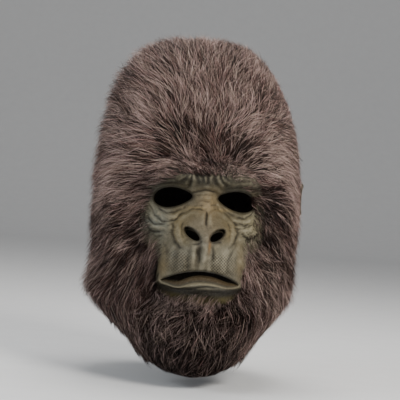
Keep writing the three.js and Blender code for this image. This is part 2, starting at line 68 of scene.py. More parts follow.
def add_camera():
    """Camera on a sphere round the line of the eyes."""
    camera = bpy.data.objects.new("camera", bpy.data.cameras.new("camera"))
    camera.data.lens = LENS
    camera.data.sensor_width = SENSOR
    level = math.cos(ELEVATION)
    away = Vector((math.sin(AZIMUTH) * level, -math.cos(AZIMUTH) * level, math.sin(ELEVATION)))
    camera.matrix_world = aim(EYE_LINE + away * DISTANCE, EYE_LINE, ROLL)
    bpy.context.scene.collection.objects.link(camera)
    bpy.context.scene.camera = camera


LIGHTS = [
    # name, position, size, watts, colour
    ("key", (0.75, -1.05, 0.65), 0.6, 24, (1.0, 0.97, 0.92)),
    ("side", (-1.15, -0.5, 0.25), 0.7, 10, (0.9, 0.95, 1.0)),
    ("top", (0.1, 0.3, 1.1), 0.8, 13, (1.0, 0.98, 0.96)),
]
LAMP_TARGET = (0, -0.03, -0.15)
SURROUND, SURROUND_STRENGTH = (0.82, 0.83, 0.85, 1), 0.38


def add_lights():
    """Three soft area lamps and a pale surround."""
    for name, position, size, watts, colour in LIGHTS:
        lamp = bpy.data.lights.new(name, "AREA")
        lamp.size, lamp.energy, lamp.color = size, watts, colour
        holder = bpy.data.objects.new(name, lamp)
        holder.matrix_world = aim(position, LAMP_TARGET)
        bpy.context.scene.collection.objects.link(holder)
    world = bpy.data.worlds.new("surround")
    world.use_nodes = True
    background = world.node_tree.nodes["Background"]
    background.inputs["Color"].default_value = SURROUND
    background.inputs["Strength"].default_value = SURROUND_STRENGTH
    bpy.context.scene.world = world


add_camera()
add_lights()

# Head form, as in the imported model
WALL = 3.0
HALF_WIDTH, FRONT_REACH, BACK_REACH = 95.0, 92.0, 108.0
EYE_DROP, HEM_DROP = 148.0, 262.0
SECTION_FORMS = [
    # reach, roundness of the dome, taper at the hem, how late the taper sets in
    (HALF_WIDTH, 3.3, 0.16, 1.6),
    (FRONT_REACH, 2.6, 0.26, 1.4),
    (BACK_REACH, 2.5, 0.2, 1.5),
]
SQUARENESS = 2.3
PUSH_FADE = 0.4 * FRONT_REACH  # depth over which the push of the face fades towards the sides
RAY_HALVINGS, FLOW_HALVINGS = 32, 18
FACE_ABOVE, FACE_HALF, MUZZLE_REACH = 44.0, 66.0, 56.0
FACE_BELOW = HEM_DROP - EYE_DROP
CROWN_Z, EYE_Z, HEM_Z = WALL, -EYE_DROP, -HEM_DROP
CENTRE = np.array([0, 0, EYE_Z + 13])  # middle of the head: fur stands along rays from here

FACE_FORMS = [
    # x, up, wide, tall, push, edge: shares of FACE_HALF, FACE_BELOW and MUZZLE_REACH
    (0, -0.61, 0.7, 0.35, 0.96, 2),
    (0, -0.94, 0.56, 0.18, 0.36, 1.5),
    (0, 0.2, 0.84, 0.11, 0.26, 1.6),
    (0.48, 0.19, 0.34, 0.09, 0.1, 1),
    (0.5, 0, 0.36, 0.13, -0.16, 1.4),
    (0, -0.06, 0.17, 0.18, 0.2, 1.3),
    (0, -0.27, 0.42, 0.15, 0.26, 2),
    (0.33, -0.3, 0.16, 0.11, 0.09, 1),
    (0.19, -0.31, 0.13, 0.06, -0.1, 1),
    (0.68, -0.21, 0.28, 0.13, 0.15, 1.2),
    (0.56, -0.36, 0.13, 0.08, -0.06, 1),
    (0, -0.575, 0.5, 0.06, 0.05, 1.3),
    (0, -0.72, 0.52, 0.045, 0.07, 1.3),
    (0, -0.82, 0.4, 0.06, -0.07, 1),
]
FACE_OUTLINE = [(0.386, 0.62), (0.3, 0.8), (0.12, 0.95), (-0.1, 1), (-0.5, 0.98), (-0.8, 0.93), (-1, 0.86)]
HAIRLINE = [
    (0.335, 0), (0.325, 0.28), (0.29, 0.47), (0.22, 0.66), (0.12, 0.81), (-0.04, 0.87), (-0.24, 0.83),
    (-0.42, 0.7), (-0.57, 0.64), (-0.72, 0.66), (-0.82, 0.62), (-0.87, 0.44), (-0.885, 0),
]


def smooth(t):
    """Eased step: three t squared less two t cubed, between 0 and 1."""
    t = np.clip(t, 0, 1)
    return t * t * (3 - 2 * t)


def bell(value, middle, width, power=2):
    """Bell curve: the exponential of minus a power of the distance from its middle in widths."""
    return np.exp(-(((value - middle) / width) ** power))


def from_table(rows, at):
    """Second column of a table whose first column falls, by straight lines between rows."""
    keys, values = np.array(rows).T
    return np.interp(at, keys[::-1], values[::-1])


def section(z):
    """Half-width, front reach and back reach of a level section: above the eyes each reach is multiplied by a
    root of one less the squared share of the height, and below them by one less a power of the drop."""
    above = np.clip((CROWN_Z - z) / (CROWN_Z - EYE_Z), 0, 1)
    below = np.clip((EYE_Z - z) / (EYE_Z - HEM_Z), 0, 1.5)
    dome = np.maximum(1 - (1 - above) ** 2, 1e-9)
    return tuple(
        reach * dome ** (1 / roundness) * (1 - taper * below**late)
        for reach, roundness, taper, late in SECTION_FORMS
    )


def face_push(x, z):
    """Forward push of the face, a sum of bumps: each the exponential of minus a power of its distance."""
    push = np.zeros(np.broadcast(x, z).shape)
    for middle, up, wide, tall, amount, edge in FACE_FORMS:
        for side in (-1, 1) if middle else (1,):
            across = (x - side * middle * FACE_HALF) / (wide * FACE_HALF)
            along = (z - EYE_Z - up * FACE_BELOW) / (tall * FACE_BELOW)
            push = push + amount * np.exp(-((across**2 + along**2) ** edge))
    return MUZZLE_REACH * push


def front_y(x, z):
    """Depth of the moulded front above a place of the front view."""
    half, front, _ = section(z)
    across = np.clip(np.abs(x) / half, 0, 1)
    return -front * (1 - across**SQUARENESS) ** (1 / SQUARENESS) - face_push(x, z)


def ring_points(azimuth, z, inset=0.0):
    """Point of the level section at an azimuth from the front, moved inwards by an inset. The section is an
    oval whose powers of sine and cosine over the reaches add up to one."""
    half, front, back = section(z)
    s, c = np.sin(azimuth), np.cos(azimuth)
    reach = np.where(c > 0, front, back)
    scale = ((np.abs(s) / half) ** SQUARENESS + (np.abs(c) / reach) ** SQUARENESS) ** (-1 / SQUARENESS)
    scale = scale * (1 - inset / np.maximum(np.minimum(half, reach), 4 * inset + 1e-9))
    x, y = scale * s, -scale * c
    return np.stack([x, y - face_push(x, z) * smooth(-y / PUSH_FADE), z + 0 * x], -1)


def surface_along(ray):
    """Point where rays from the middle of the head leave the head form, found by halving."""
    near, far = np.zeros(ray.shape[:-1]), np.full(ray.shape[:-1], 2 * HEM_DROP)
    for _ in range(RAY_HALVINGS):
        reach = (near + far) / 2
        p = ray * reach[..., None] + CENTRE
        half, front, back = section(p[..., 2])
        depth = np.where(p[..., 1] < 0, front, back)
        level = (np.abs(p[..., 0]) / half) ** SQUARENESS + (np.abs(p[..., 1]) / depth) ** SQUARENESS
        outside = (p[..., 2] > CROWN_Z) | (level > 1)
        near, far = np.where(outside, near, reach), np.where(outside, reach, far)
    p = ray * near[..., None] + CENTRE
    p[..., 1] -= face_push(p[..., 0], p[..., 2]) * smooth(-p[..., 1] / PUSH_FADE)
    return p


def unit(vectors):
    """Vectors over their lengths."""
    return vectors / (np.linalg.norm(vectors, axis=-1)[..., None] + 1e-9)


def wrapped(turn):
    """Turn brought between minus and plus half a circle."""
    return (turn + math.pi) % (2 * math.pi) - math.pi


def off_top(turn):
    """Degrees between a turn and the top of the face."""
    return np.abs(np.degrees(wrapped(turn)))


def face_half(points):
    """Half-width of the moulded face at the height of points."""
    return FACE_HALF * from_table(FACE_OUTLINE, (points[..., 2] - EYE_Z) / FACE_BELOW)


def ripple(points, wave, seed, terms=14):
    """Smooth random field: a sum of sines along random directions, with waves about a given length."""
    rng = np.random.default_rng(seed)
    field = np.zeros(points.shape[:-1])
    for _ in range(terms):
        way = rng.normal(size=points.shape[-1])
        way /= np.linalg.norm(way)
        length = wave * rng.uniform(0.7, 1.5)
        field += np.sin(points @ way * (2 * math.pi / length) + rng.uniform(0, 2 * math.pi))
    return field / math.sqrt(terms / 2)


# Meshes, materials and the floor
def build_mesh(name, points, faces, body="root"):
    """Object from points in millimetres and a list of index arrays, one array for each face size."""
    mesh = bpy.data.meshes.new(name)
    sizes = np.concatenate([np.full(len(f), f.shape[1]) for f in faces])
    corners = np.concatenate([f.ravel() for f in faces]).astype(np.int32)
    starts = np.concatenate([[0], np.cumsum(sizes)[:-1]]).astype(np.int32)
    mesh.vertices.add(len(points))
    mesh.vertices.foreach_set("co", (np.asarray(points, float) * MM).ravel())
    mesh.loops.add(len(corners))
    mesh.loops.foreach_set("vertex_index", corners)
    mesh.polygons.add(len(starts))
    mesh.polygons.foreach_set("loop_start", starts)
    mesh.polygons.foreach_set("use_smooth", np.ones(len(starts), bool))
    mesh.update(calc_edges=True)
    mesh.validate()
    piece = bpy.data.objects.new(name, mesh)
    bpy.context.scene.collection.objects.link(piece)
    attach(piece, body)
    return piece


def set_uv(piece, uv):
    """UV map from one pair of values for each point."""
    layer = piece.data.uv_layers.new(name="OFBake")
    corners = np.empty(len(piece.data.loops), np.int32)
    piece.data.loops.foreach_get("vertex_index", corners)
    layer.data.foreach_set("uv", np.asarray(uv, np.float32)[corners].ravel())


def set_colour(piece, name, values):
    """Colour attribute from one linear colour for each point."""
    layer = piece.data.color_attributes.new(name, "FLOAT_COLOR", "POINT")
    rgba = np.concatenate([values, np.ones((len(values), 1))], 1)
    layer.data.foreach_set("color", rgba.astype(np.float32).ravel())


def grid_quads(rows, columns, first=0, wrap=False, turn=False):
    """Quads of a grid of points counted row by row."""
    i, j = np.meshgrid(np.arange(rows - 1), np.arange(columns if wrap else columns - 1), indexing="ij")
    a, b = i * columns + j, i * columns + (j + 1) % columns
    quads = np.stack([a, b, b + columns, a + columns], -1).reshape(-1, 4) + first
    return quads[:, ::-1] if turn else quads


class Finish:
    """A material's node tree, with short ways to add and join nodes."""

    def __init__(self, name, roughness, specular):
        """Plain shader with a uniform roughness and shine."""
        self.material = bpy.data.materials.new(name)
        self.material.use_nodes = True
        self.tree = self.material.node_tree
        self.shader = self.tree.nodes["Principled BSDF"]
        self.shader.inputs["Roughness"].default_value = roughness
        self.shader.inputs["Specular IOR Level"].default_value = specular

    def node(self, kind, inputs=None, **settings):
        """New node, its settings, and its inputs as values or as links from other nodes."""
        made = self.tree.nodes.new("ShaderNode" + kind)
        for key, value in settings.items():
            setattr(made, key, value)
        for socket, value in (inputs or {}).items():
            self.feed(made.inputs[socket], value)
        return made

    def feed(self, socket, value):
        """Links a socket to another node's output, or sets its value."""
        if isinstance(value, bpy.types.NodeSocket):
            self.tree.links.new(value, socket)
        else:
            socket.default_value = value

    def place(self):
        """Place on the object, in metres."""
        return self.node("TexCoord").outputs["Object"]

    def noise(self, scale, vector=None, detail=4.0, roughness=0.55):
        """Cloudy noise."""
        inputs = {"Vector": vector or self.place(), "Scale": scale, "Detail": detail, "Roughness": roughness}
        return self.node("TexNoise", inputs).outputs["Fac"]

    def ramp(self, factor, stops):
        """Colour that runs through stops, each a place and a colour."""
        made = self.node("ValToRGB", {"Fac": factor})
        points = made.color_ramp.elements
        while len(points) < len(stops):
            points.new(0.5)
        for point, (at, colour) in zip(points, stops):
            point.position, point.color = at, (*colour, 1)
        return made.outputs["Color"]

    def mix(self, factor, a, b, blend="MIX"):
        """Blend of two colours, each a link or three values."""
        made = self.node("Mix", {"Factor": factor}, data_type="RGBA", blend_type=blend)
        for socket, value in ((made.inputs[6], a), (made.inputs[7], b)):
            self.feed(socket, value if isinstance(value, bpy.types.NodeSocket) else (*value, 1))
        return made.outputs[2]

    def math(self, operation, a, b):
        """Sum, product or other operation on two values."""
        return self.node("Math", {0: a, 1: b}, operation=operation).outputs[0]

    def span(self, value, low, high, to_low, to_high):
        """Value carried in a straight line from one range to another, and held at its ends."""
        inputs = {"Value": value, "From Min": low, "From Max": high, "To Min": to_low, "To Max": to_high}
        return self.node("MapRange", inputs).outputs[0]

    def bump(self, height, strength, distance):
        """Normal tilted by a height."""
        inputs = {"Height": height, "Strength": strength, "Distance": distance}
        return self.node("Bump", inputs).outputs["Normal"]

    def to(self, socket, value):
        """Joins a value to the shader."""
        self.tree.links.new(value, self.shader.inputs[socket])


FLOOR_GAP = 16  # lowest tips to the floor
FLOOR_HALF, FLOOR_FRONT, FLOOR_BACK, FLOOR_SWEEP, BACKDROP_TOP = 6000.0, -4000, 2600, 1200, 5000


def stage_floor():
    """Wide pale floor a little below the lowest tips, which curves up by a quarter circle into a wall."""
    low = CAD_BOX[0][2] / MM - FLOOR_GAP
    angle = np.linspace(0, math.pi / 2, 24)
    y = np.concatenate([[FLOOR_FRONT], FLOOR_BACK + FLOOR_SWEEP * np.sin(angle), [FLOOR_BACK + FLOOR_SWEEP]])
    z = np.concatenate([[low], low + FLOOR_SWEEP * (1 - np.cos(angle)), [BACKDROP_TOP]])
    x = np.array([-FLOOR_HALF, FLOOR_HALF])
    points = np.stack([np.tile(x, len(y)), np.repeat(y, 2), np.repeat(z, 2)], -1)
    mesh = bpy.data.meshes.new("floor")
    mesh.from_pydata((points * MM).tolist(), [], grid_quads(len(y), 2).tolist())
    mesh.polygons.foreach_set("use_smooth", [True] * len(mesh.polygons))
    floor = bpy.data.objects.new("floor", mesh)
    bpy.context.scene.collection.objects.link(floor)
    finish = Finish("pale_floor", 0.85, 0.3)
    finish.to("Base Color", finish.mix(finish.noise(40), (0.72, 0.72, 0.72), (0.78, 0.78, 0.775)))
    mesh.materials.append(finish.material)


stage_floor()

# Openings of the face
EYE_SPREAD, EYE_LENGTH, EYE_HEIGHT, EYE_RISE, EYE_NARROWING = 64.0, 38.0, 22.0, 4.0, 0.45
NOSTRIL_SPREAD, NOSTRIL_LENGTH, NOSTRIL_HEIGHT, NOSTRIL_DROP, NOSTRIL_TILT = 25.0, 17.0, 7.8, 34.0, 35.0
MOUTH_LENGTH, MOUTH_GAPE, MOUTH_DROP, MOUTH_SAG = 76.0, 9.5, 74.0, 8.0


def eye_outline(side, steps=120):
    """Oval that narrows to its inner corner, which stands a little higher."""
    angle = side * np.linspace(0, 2 * math.pi, steps, endpoint=False)
    inward = (1 - np.cos(angle)) / 2
    height = EYE_HEIGHT / 2 * (1 - EYE_NARROWING * inward**2)
    x = EYE_SPREAD / 2 + EYE_LENGTH / 2 * np.cos(angle)
    return np.stack([side * x, EYE_Z + side * height * np.sin(angle) + EYE_RISE * (inward - 0.5)], -1)


def nostril_outline(side, steps=80):
    """Oval whose outer end stands up."""
    angle = side * np.linspace(0, 2 * math.pi, steps, endpoint=False)
    tilt = math.radians(NOSTRIL_TILT)
    along, over = NOSTRIL_LENGTH / 2 * np.cos(angle), NOSTRIL_HEIGHT / 2 * np.sin(angle)
    x = NOSTRIL_SPREAD / 2 + along * math.cos(tilt) - over * math.sin(tilt)
    return np.stack([side * x, EYE_Z - NOSTRIL_DROP + along * math.sin(tilt) + over * math.cos(tilt)], -1)


def mouth_outline(steps=90):
    """Crescent whose corners lie below its middle."""
    share = -np.cos(np.linspace(0, math.pi, steps))
    middle = EYE_Z - MOUTH_DROP - MOUTH_SAG * share**2
    gape = MOUTH_GAPE / 2 * np.maximum(1 - share**2, 0) ** 0.7
    lower = np.stack([MOUTH_LENGTH / 2 * share, middle - gape], -1)
    upper = np.stack([MOUTH_LENGTH / 2 * share, middle + gape], -1)[::-1]
    return np.concatenate([lower[:-1], upper[:-1]])


OPENINGS = [eye_outline(-1), eye_outline(1), nostril_outline(-1), nostril_outline(1), mouth_outline()]


def outline_distance(x, z, outline):
    """Distance from places of the front view to a closed outline, less than none inside, and the nearest
    point: the least over the outline's edges, with the inside told by the edges crossed on one side."""
    a, b = outline, np.roll(outline, -1, 0)
    p = np.stack([x, z], -1)[:, None, :]
    edge = b - a
    t = np.clip(((p - a) * edge).sum(-1) / (edge**2).sum(-1), 0, 1)
    nearest = a + t[..., None] * edge
    gap = np.linalg.norm(p - nearest, axis=-1)
    pick = gap.argmin(1)
    rows = np.arange(len(pick))
    above = (a[:, 1] > p[..., 1]) != (b[:, 1] > p[..., 1])
    rise = np.where(edge[:, 1] == 0, 1e-9, edge[:, 1])
    crossing = a[:, 0] + (p[..., 1] - a[:, 1]) * edge[:, 0] / rise
    inside = (above & (p[..., 0] < crossing)).sum(1) % 2 == 1
    return np.where(inside, -1, 1) * gap[rows, pick], nearest[rows, pick]


def boundary_loops(quads):
    """Closed lines of points round each hole and the sheet: the edges of one face only, put end to end."""
    edges = np.concatenate([quads[:, [k, (k + 1) % 4]] for k in range(4)])
    key = np.sort(edges, 1)
    _, index, count = np.unique(key, axis=0, return_index=True, return_counts=True)
    onward = {int(a): int(b) for a, b in edges[index[count == 1]]}
    loops = []
    while onward:
        start = next(iter(onward))
        line, at = [], start
        while at in onward:
            line.append(at)
            at = onward.pop(at)
        loops.append(np.array(line))
    return loops


# Fine forms of the face
# Folds, each a groove along a line in the front view: its width and depth, and its points in millimetres
# from the middle line and above the line of the eyes.
FOLDS = [
    # name, width, depth, points
    ("lid L1", 2.0, 1.1, [(-50, -6), (-46, -12.5), (-38, -15.5), (-29.5, -14.5), (-22, -11), (-15, -5)]),
    ("lid L2", 2.2, 1.4, [(-53, -10.5), (-48, -20), (-42.5, -25), (-35, -25), (-27.5, -21), (-22, -14.5),
                         (-18, -9.5)]),
    ("fold L3", 2.1, 1.1, [(-56.5, -16), (-54, -23.5), (-49, -28.5), (-42.5, -28), (-35.5, -28.5),
                          (-27.5, -25)]),
    ("bag L4", 2.5, 1.4, [(-57, -29), (-51.5, -35), (-45, -36), (-38, -35.5)]),
    ("bag L5", 2.1, 1.0, [(-50.5, -39), (-44.5, -41), (-37.5, -38.5)]),
    ("fine L6", 1.6, 0.7, [(-60.5, -16), (-59, -23.5), (-55.5, -32)]),
    ("fine L7", 1.6, 0.6, [(-63.5, -19.5), (-62, -27), (-58.5, -35.5)]),
    ("fine L8", 1.6, 0.6, [(-66, -24), (-64.5, -33), (-60.5, -40)]),
    ("lid R1", 2.0, 1.2, [(13.5, -1.5), (19.5, -8.5), (26.5, -14), (33.5, -17), (41, -16), (47.5, -12.5),
                         (53, -6)]),
    ("lid R2", 2.2, 1.4, [(19, -9.5), (25, -17), (32.5, -22), (40, -23.5), (46.5, -21), (51, -16.5)]),
    ("fold R3", 1.8, 0.9, [(27, -24), (34, -27.5), (40, -26), (48, -23), (53, -19)]),
    ("bag R4", 2.5, 1.5, [(36.5, -28), (40, -34), (46.5, -37), (52.5, -35), (56, -30.5), (57, -25)]),
    ("bag R5", 2.0, 1.0, [(41, -28.5), (45, -31.5), (49, -31), (52, -27)]),
    ("fine R6", 1.6, 0.7, [(56.5, -12), (60, -19), (60.5, -27.5)]),
    ("fine R7", 1.6, 0.6, [(61, -10), (64.5, -18.5), (65, -29)]),
    ("crow R8", 1.6, 0.7, [(53, 2.5), (57.5, 0), (61.5, -5.5)]),
    ("crow L8", 1.6, 0.7, [(-53.5, 0), (-58, -4.5), (-60.5, -10.5)]),
    ("root 1", 2.0, 1.4, [(-15.5, 3.5), (-12, 6), (-8, 7.5), (-1, 9), (6, 8.5), (10, 7.5)]),
    ("root 2", 1.8, 0.8, [(-12, 1.5), (-6.5, 4), (0.5, 5), (8.5, 4)]),
    ("root 3", 1.7, 0.7, [(-10, -3), (-3.5, -1.5), (5, -2)]),
    ("root 4", 1.6, 0.6, [(-13, -8.5), (-7, -6), (0, -6)]),
    ("root 5", 1.6, 0.6, [(3.5, -5.5), (9.5, -5.5), (15, -8)]),
    ("lobe L", 2.1, 1.0, [(-24.5, -22.5), (-22.5, -17), (-18, -13), (-12, -10.5), (-5.5, -10), (-0.5, -13)]),
    ("lobe R", 2.1, 1.0, [(3.5, -12.5), (7, -10), (13, -9), (19, -11), (25, -16)]),
    ("middle", 2.1, 2.0, [(1.5, -11), (1, -16.5), (1.5, -22), (2.5, -27.5)]),
    ("wing L", 3.6, 2.1, [(-28, -21), (-30.5, -27.5), (-31, -35), (-28, -42.5), (-23.5, -48), (-16.5, -50)]),
    ("wing R", 3.6, 2.1, [(27.5, -17), (32, -24), (34, -31.5), (31.5, -39), (26.5, -44.5), (20, -47.5)]),
    ("alar L", 1.8, 0.8, [(-19, -22.5), (-22.5, -28), (-22.5, -35), (-19, -40)]),
    ("alar R", 1.8, 0.8, [(22, -20.5), (25, -26), (25.5, -32.5), (22.5, -37.5)]),
    ("under L", 2.1, 1.4, [(-1.5, -39), (-7, -43), (-13.5, -44)]),
    ("under R", 2.1, 1.4, [(6, -38), (11, -40.5), (17.5, -40)]),
    ("phil M", 3.4, 1.9, [(-4, -42), (-5.7, -50), (-5, -63)]),
    ("phil R", 2.1, 0.9, [(7, -42.5), (8, -50), (8.5, -60)]),
    ("pad R", 3.4, 1.5, [(36.5, -37.5), (31.5, -45), (26.5, -52.5), (23.5, -59.5), (23.5, -66.5)]),
    ("pad R2", 2.8, 0.5, [(35.5, -49), (32, -57.5), (30, -69)]),
    ("pad L", 3.4, 1.0, [(-38, -42), (-35.5, -50), (-34.5, -58.5), (-35, -68)]),
    ("pad L2", 2.8, 0.4, [(-27, -53.5), (-23.5, -60.5), (-23.5, -68.5)]),
    ("pad L3", 2.8, 0.4, [(-17, -54.5), (-15.5, -61), (-16, -69)]),
    ("pad R3", 2.8, 0.4, [(17.5, -51.5), (16.5, -58.5), (18, -66)]),
    ("corner L", 2.0, 1.1, [(-39.5, -82.5), (-41.5, -87.5), (-40, -94)]),
    ("corner R", 2.0, 1.1, [(40.5, -80), (43.5, -85), (43, -91.5)]),
    ("corner R2", 1.7, 0.8, [(41, -73.5), (44, -79), (45.5, -86)]),
    ("corner L2", 1.7, 0.8, [(-41, -74), (-43, -80), (-43.5, -86.5)]),
    ("lip low", 2.3, 1.5, [(-35, -87.5), (-20, -88), (-6.5, -85.5), (6, -83), (18.5, -83), (31, -84.5),
                          (38, -84.5)]),
    ("chin 1", 2.1, 0.7, [(-24, -93), (-10.5, -91), (3.5, -89), (17.5, -89), (30, -89.5)]),
    ("brow 1", 2.3, 1.1, [(-11, 26.5), (-10.5, 20.5), (-8.5, 13.5)]),
    ("brow 2", 2.3, 1.1, [(-6, 28), (-5.5, 20.5), (-4.5, 14)]),
    ("brow 3", 2.3, 1.1, [(-1, 28), (0, 21), (0.5, 14.5)]),
    ("brow 4", 2.3, 1.3, [(6, 29), (6, 21.5), (8.5, 16.5), (15, 11.5), (19, 10)]),
    ("brow 5", 2.0, 1.1, [(12, 28), (12, 22.5), (15.5, 17), (22, 13)]),
    ("brow 6", 1.8, 0.8, [(17.5, 28), (18, 22.5), (23, 17.5)]),
    ("brow 7", 2.0, 1.1, [(-16, 26), (-16, 20.5), (-16.5, 14.5), (-20, 10)]),
    ("brow 8", 1.8, 0.8, [(-21, 24.5), (-22, 19), (-25.5, 13.5)]),
    ("lid top R", 2.0, 1.0, [(15.5, 10.5), (23.5, 13), (33, 14.5), (43, 14), (50.5, 10.5)]),
    ("lid top L", 2.0, 1.0, [(-17.5, 11.5), (-25, 14), (-33.5, 14), (-42.5, 12.5), (-50, 8)]),
    ("brow R a", 1.7, 0.7, [(25, 17.5), (34, 20.5), (43.5, 21), (53.5, 19)]),
    ("brow L a", 1.7, 0.7, [(-27.5, 17), (-36.5, 18.5), (-46.5, 17), (-53.5, 13)]),
]

FINE_FORMS = [
    # x, up, wide, tall, height, edge: in millimetres
    (-13, -20, 10, 9, 2.6, 1.2),
    (14, -18.5, 10, 9, 2.6, 1.2),
    (-26, -36, 5, 10, 2.4, 1),
    (29, -32, 5, 10, 2.4, 1),
    (2, -37, 4, 4, 1.4, 1),
    (-20, -59, 13, 10, 2.0, 1.3),
    (18, -57, 8, 10, 1.8, 1.2),
    (38, -58, 5, 14, 1.6, 1),
    (-11, -53, 2.6, 11, 1.3, 1),
    (1.3, -52, 2.6, 11, 1.7, 1),
    (-45, -31.5, 9, 3.4, 1.8, 1),
    (47, -30, 8, 4, 2.0, 1),
    (-34, -20, 14, 3, 1.0, 1),
    (34, -19, 14, 3, 1.0, 1),
    (-36, 22, 22, 6, 2.6, 1),
    (38, 20, 22, 6, 2.8, 1),
    (13.5, 15, 4.5, 6, 1.8, 1),
    (-13, 14.5, 4.5, 5, 1.2, 1),
    (0, -81.5, 30, 2.4, 1.6, 1.5),
]

FOLD_MARGIN, FOLD_FADE = 4, 0.3  # reach in widths, and share of the length over which each end fades
GROOVE_WIDTH, SWELL_OFFSET, SWELL_HEIGHT = 0.62, 1.7, 0.4
PLEAT_HEIGHT, PLEAT_WIDTH = 2.3, 2.1
ARC_SPACING, ARC_HEIGHT = 3.1, 0.2
LINE_WANDER = 0.35
FAR_AWAY = 1e3


def fold_relief(x, up):
    """Groove of each fold: minus its depth times the exponential of minus the squared distance in widths,
    with a low swell along both sides; it fades at its ends."""
    relief = np.zeros(x.shape)
    for _, width, depth, points in FOLDS:
        line = np.array(points, float)
        low, high = line.min(0) - FOLD_MARGIN * width, line.max(0) + FOLD_MARGIN * width
        near = np.flatnonzero((x > low[0]) & (x < high[0]) & (up > low[1]) & (up < high[1]))
        place = np.stack([x[near], up[near]], -1)
        lengths = np.concatenate([[0], np.cumsum(np.linalg.norm(np.diff(line, axis=0), axis=1))])
        best, along = np.full(len(near), FAR_AWAY), np.zeros(len(near))
        for k in range(len(line) - 1):
            edge = line[k + 1] - line[k]
            t = np.clip(((place - line[k]) @ edge) / (edge @ edge), 0, 1)
            gap = np.linalg.norm(place - line[k] - t[:, None] * edge, axis=-1)
            closer = gap < best
            best = np.where(closer, gap, best)
            along = np.where(closer, lengths[k] + t * (lengths[k + 1] - lengths[k]), along)
        share = along / lengths[-1]
        fade = smooth((1 - share) / FOLD_FADE + 0.1) * smooth(share / FOLD_FADE + 0.1)
        groove = bell(best, 0, GROOVE_WIDTH * width)
        swell = bell(best, SWELL_OFFSET * width, width)
        relief[near] += depth * fade * (SWELL_HEIGHT * swell - groove)
    return relief


def lip_pleats(x, up, flat):
    """Relief of the upper lip: a product of two sines, stronger low down, and upright wavy lines."""
    zone = bell(up, -62, 9, 4) * bell(x, 0, 36, 6)
    bent = x * 2 * math.pi / PLEAT_WIDTH + 1.2 * ripple(flat, 12, 8)
    pleats = np.sin(up * 2 * math.pi / PLEAT_HEIGHT) * np.sin(bent)
    return zone * (0.38 * pleats * smooth((-54 - up) / 5) + 0.12 * ripple(np.stack([x, 0.2 * up], -1), 4, 3))


def eye_arcs(x, up, flat):
    """Fine arcs under each eye: the sine of the distance from a point of the eye, bent by a random field."""
    relief = np.zeros(x.shape)
    for side, middle, height in ((-1, -30, -1), (1, 34, -2)):
        reach = np.hypot(x - middle, 1.1 * (up - height))
        arcs = np.sin(2 * math.pi * (reach + 1.1 * ripple(flat, 9, 14)) / ARC_SPACING)
        zone = smooth((side * x - 22) / 8) * smooth((-7 - up) / 5) * smooth((up + 44) / 10)
        relief += ARC_HEIGHT * zone * arcs * (0.5 + smooth(0.5 + ripple(flat, 11, 15)))
    return relief


def face_relief(x, z):
    """Fine forms on top of the moulded front: the sum of soft bumps, folds, unevenness, lip pleats, arcs
    under the eyes, and lines on the cheeks and the brow."""
    up = z - EYE_Z
    warp = np.stack([x, up], -1)
    relief = np.zeros(x.shape)
    for middle, height, wide, tall, amount, edge in FINE_FORMS:
        relief += amount * np.exp(-((((x - middle) / wide) ** 2 + ((up - height) / tall) ** 2) ** edge))
    x = x + LINE_WANDER * ripple(warp, 15, 5)
    up = up + LINE_WANDER * ripple(warp, 15, 6)
    relief += fold_relief(x, up)
    flat = np.stack([x, up], -1)
    relief += 0.3 * ripple(flat, 13, 1) + 0.07 * ripple(flat, 5, 2)
    relief += lip_pleats(x, up, flat)
    relief += eye_arcs(x, up, flat)
    cheek = smooth((np.abs(x) - 36) / 8) * bell(up, -22, 20, 4)
    relief += 0.14 * cheek * ripple(np.stack([x - 0.5 * up * np.sign(x), 0.25 * up], -1), 4, 9)
    relief += 0.15 * bell(up, 25, 9) * ripple(np.stack([x, 0.35 * up], -1), 4, 4)
    return relief


def opening_roll(gap, radius):
    """How far the surface turns back next to an opening: a quarter circle of the given radius."""
    t = np.clip(gap, 0, radius)
    return radius - np.sqrt(radius**2 - (radius - t) ** 2)


def near_fade(gap):
    """Share of the relief that is left next to an opening."""
    return smooth(gap / 4 + 0.3)


ROLL_RADIUS, RIM_SWELL = 1.8, 2.6
OPENING_MARGIN = 12
LONGEST_RIM = 400  # points round an opening; the edge of the sheet has more
RIM_RINGS = ((0.9, 0.35), (1.9, 1.0), (WALL - 0.2, 0.0))  # depth in the wall, share of the lip's rise
LIP_RISE = 6.0  # inner edge of the lower lip over its outer edge
LIP_DROPS = [(-23, 4.5), (25, 2.2)]  # middle and depth of the two dips of the lower lip
FACE_GRID, FACE_BACK_GRID = (208, 250), (64, 78)


def mouth_middle(x):
    """Height of the mouth's middle line over the line of the eyes: a parabola that sags to its corners."""
    return -MOUTH_DROP - MOUTH_SAG * (2 * x / MOUTH_LENGTH) ** 2


def lip_line(x, z, gap):
    """Drop of the lower lip's edge to both sides of its middle, two bell curves that fade from the mouth."""
    up = z - EYE_Z
    below = (up < mouth_middle(x)) & (up > -100) & (np.abs(x) < MOUTH_LENGTH / 2)
    drop = sum(depth * bell(x, middle, 11) for middle, depth in LIP_DROPS)
    return below * drop * bell(gap, 0, 6)


def face_points(x, z, gap, fine):
    """Points of the moulded front in the front view; the fine ones have its relief, a swollen edge round each
    opening and a rolled rim."""
    y = front_y(x, z)
    if fine:
        swell = bell(gap, RIM_SWELL, 1.6)
        y = y - face_relief(x, z) * near_fade(gap) - swell + opening_roll(gap, ROLL_RADIUS)
        z = z - lip_line(x, z, gap)
    return np.stack([x, y, z], -1)


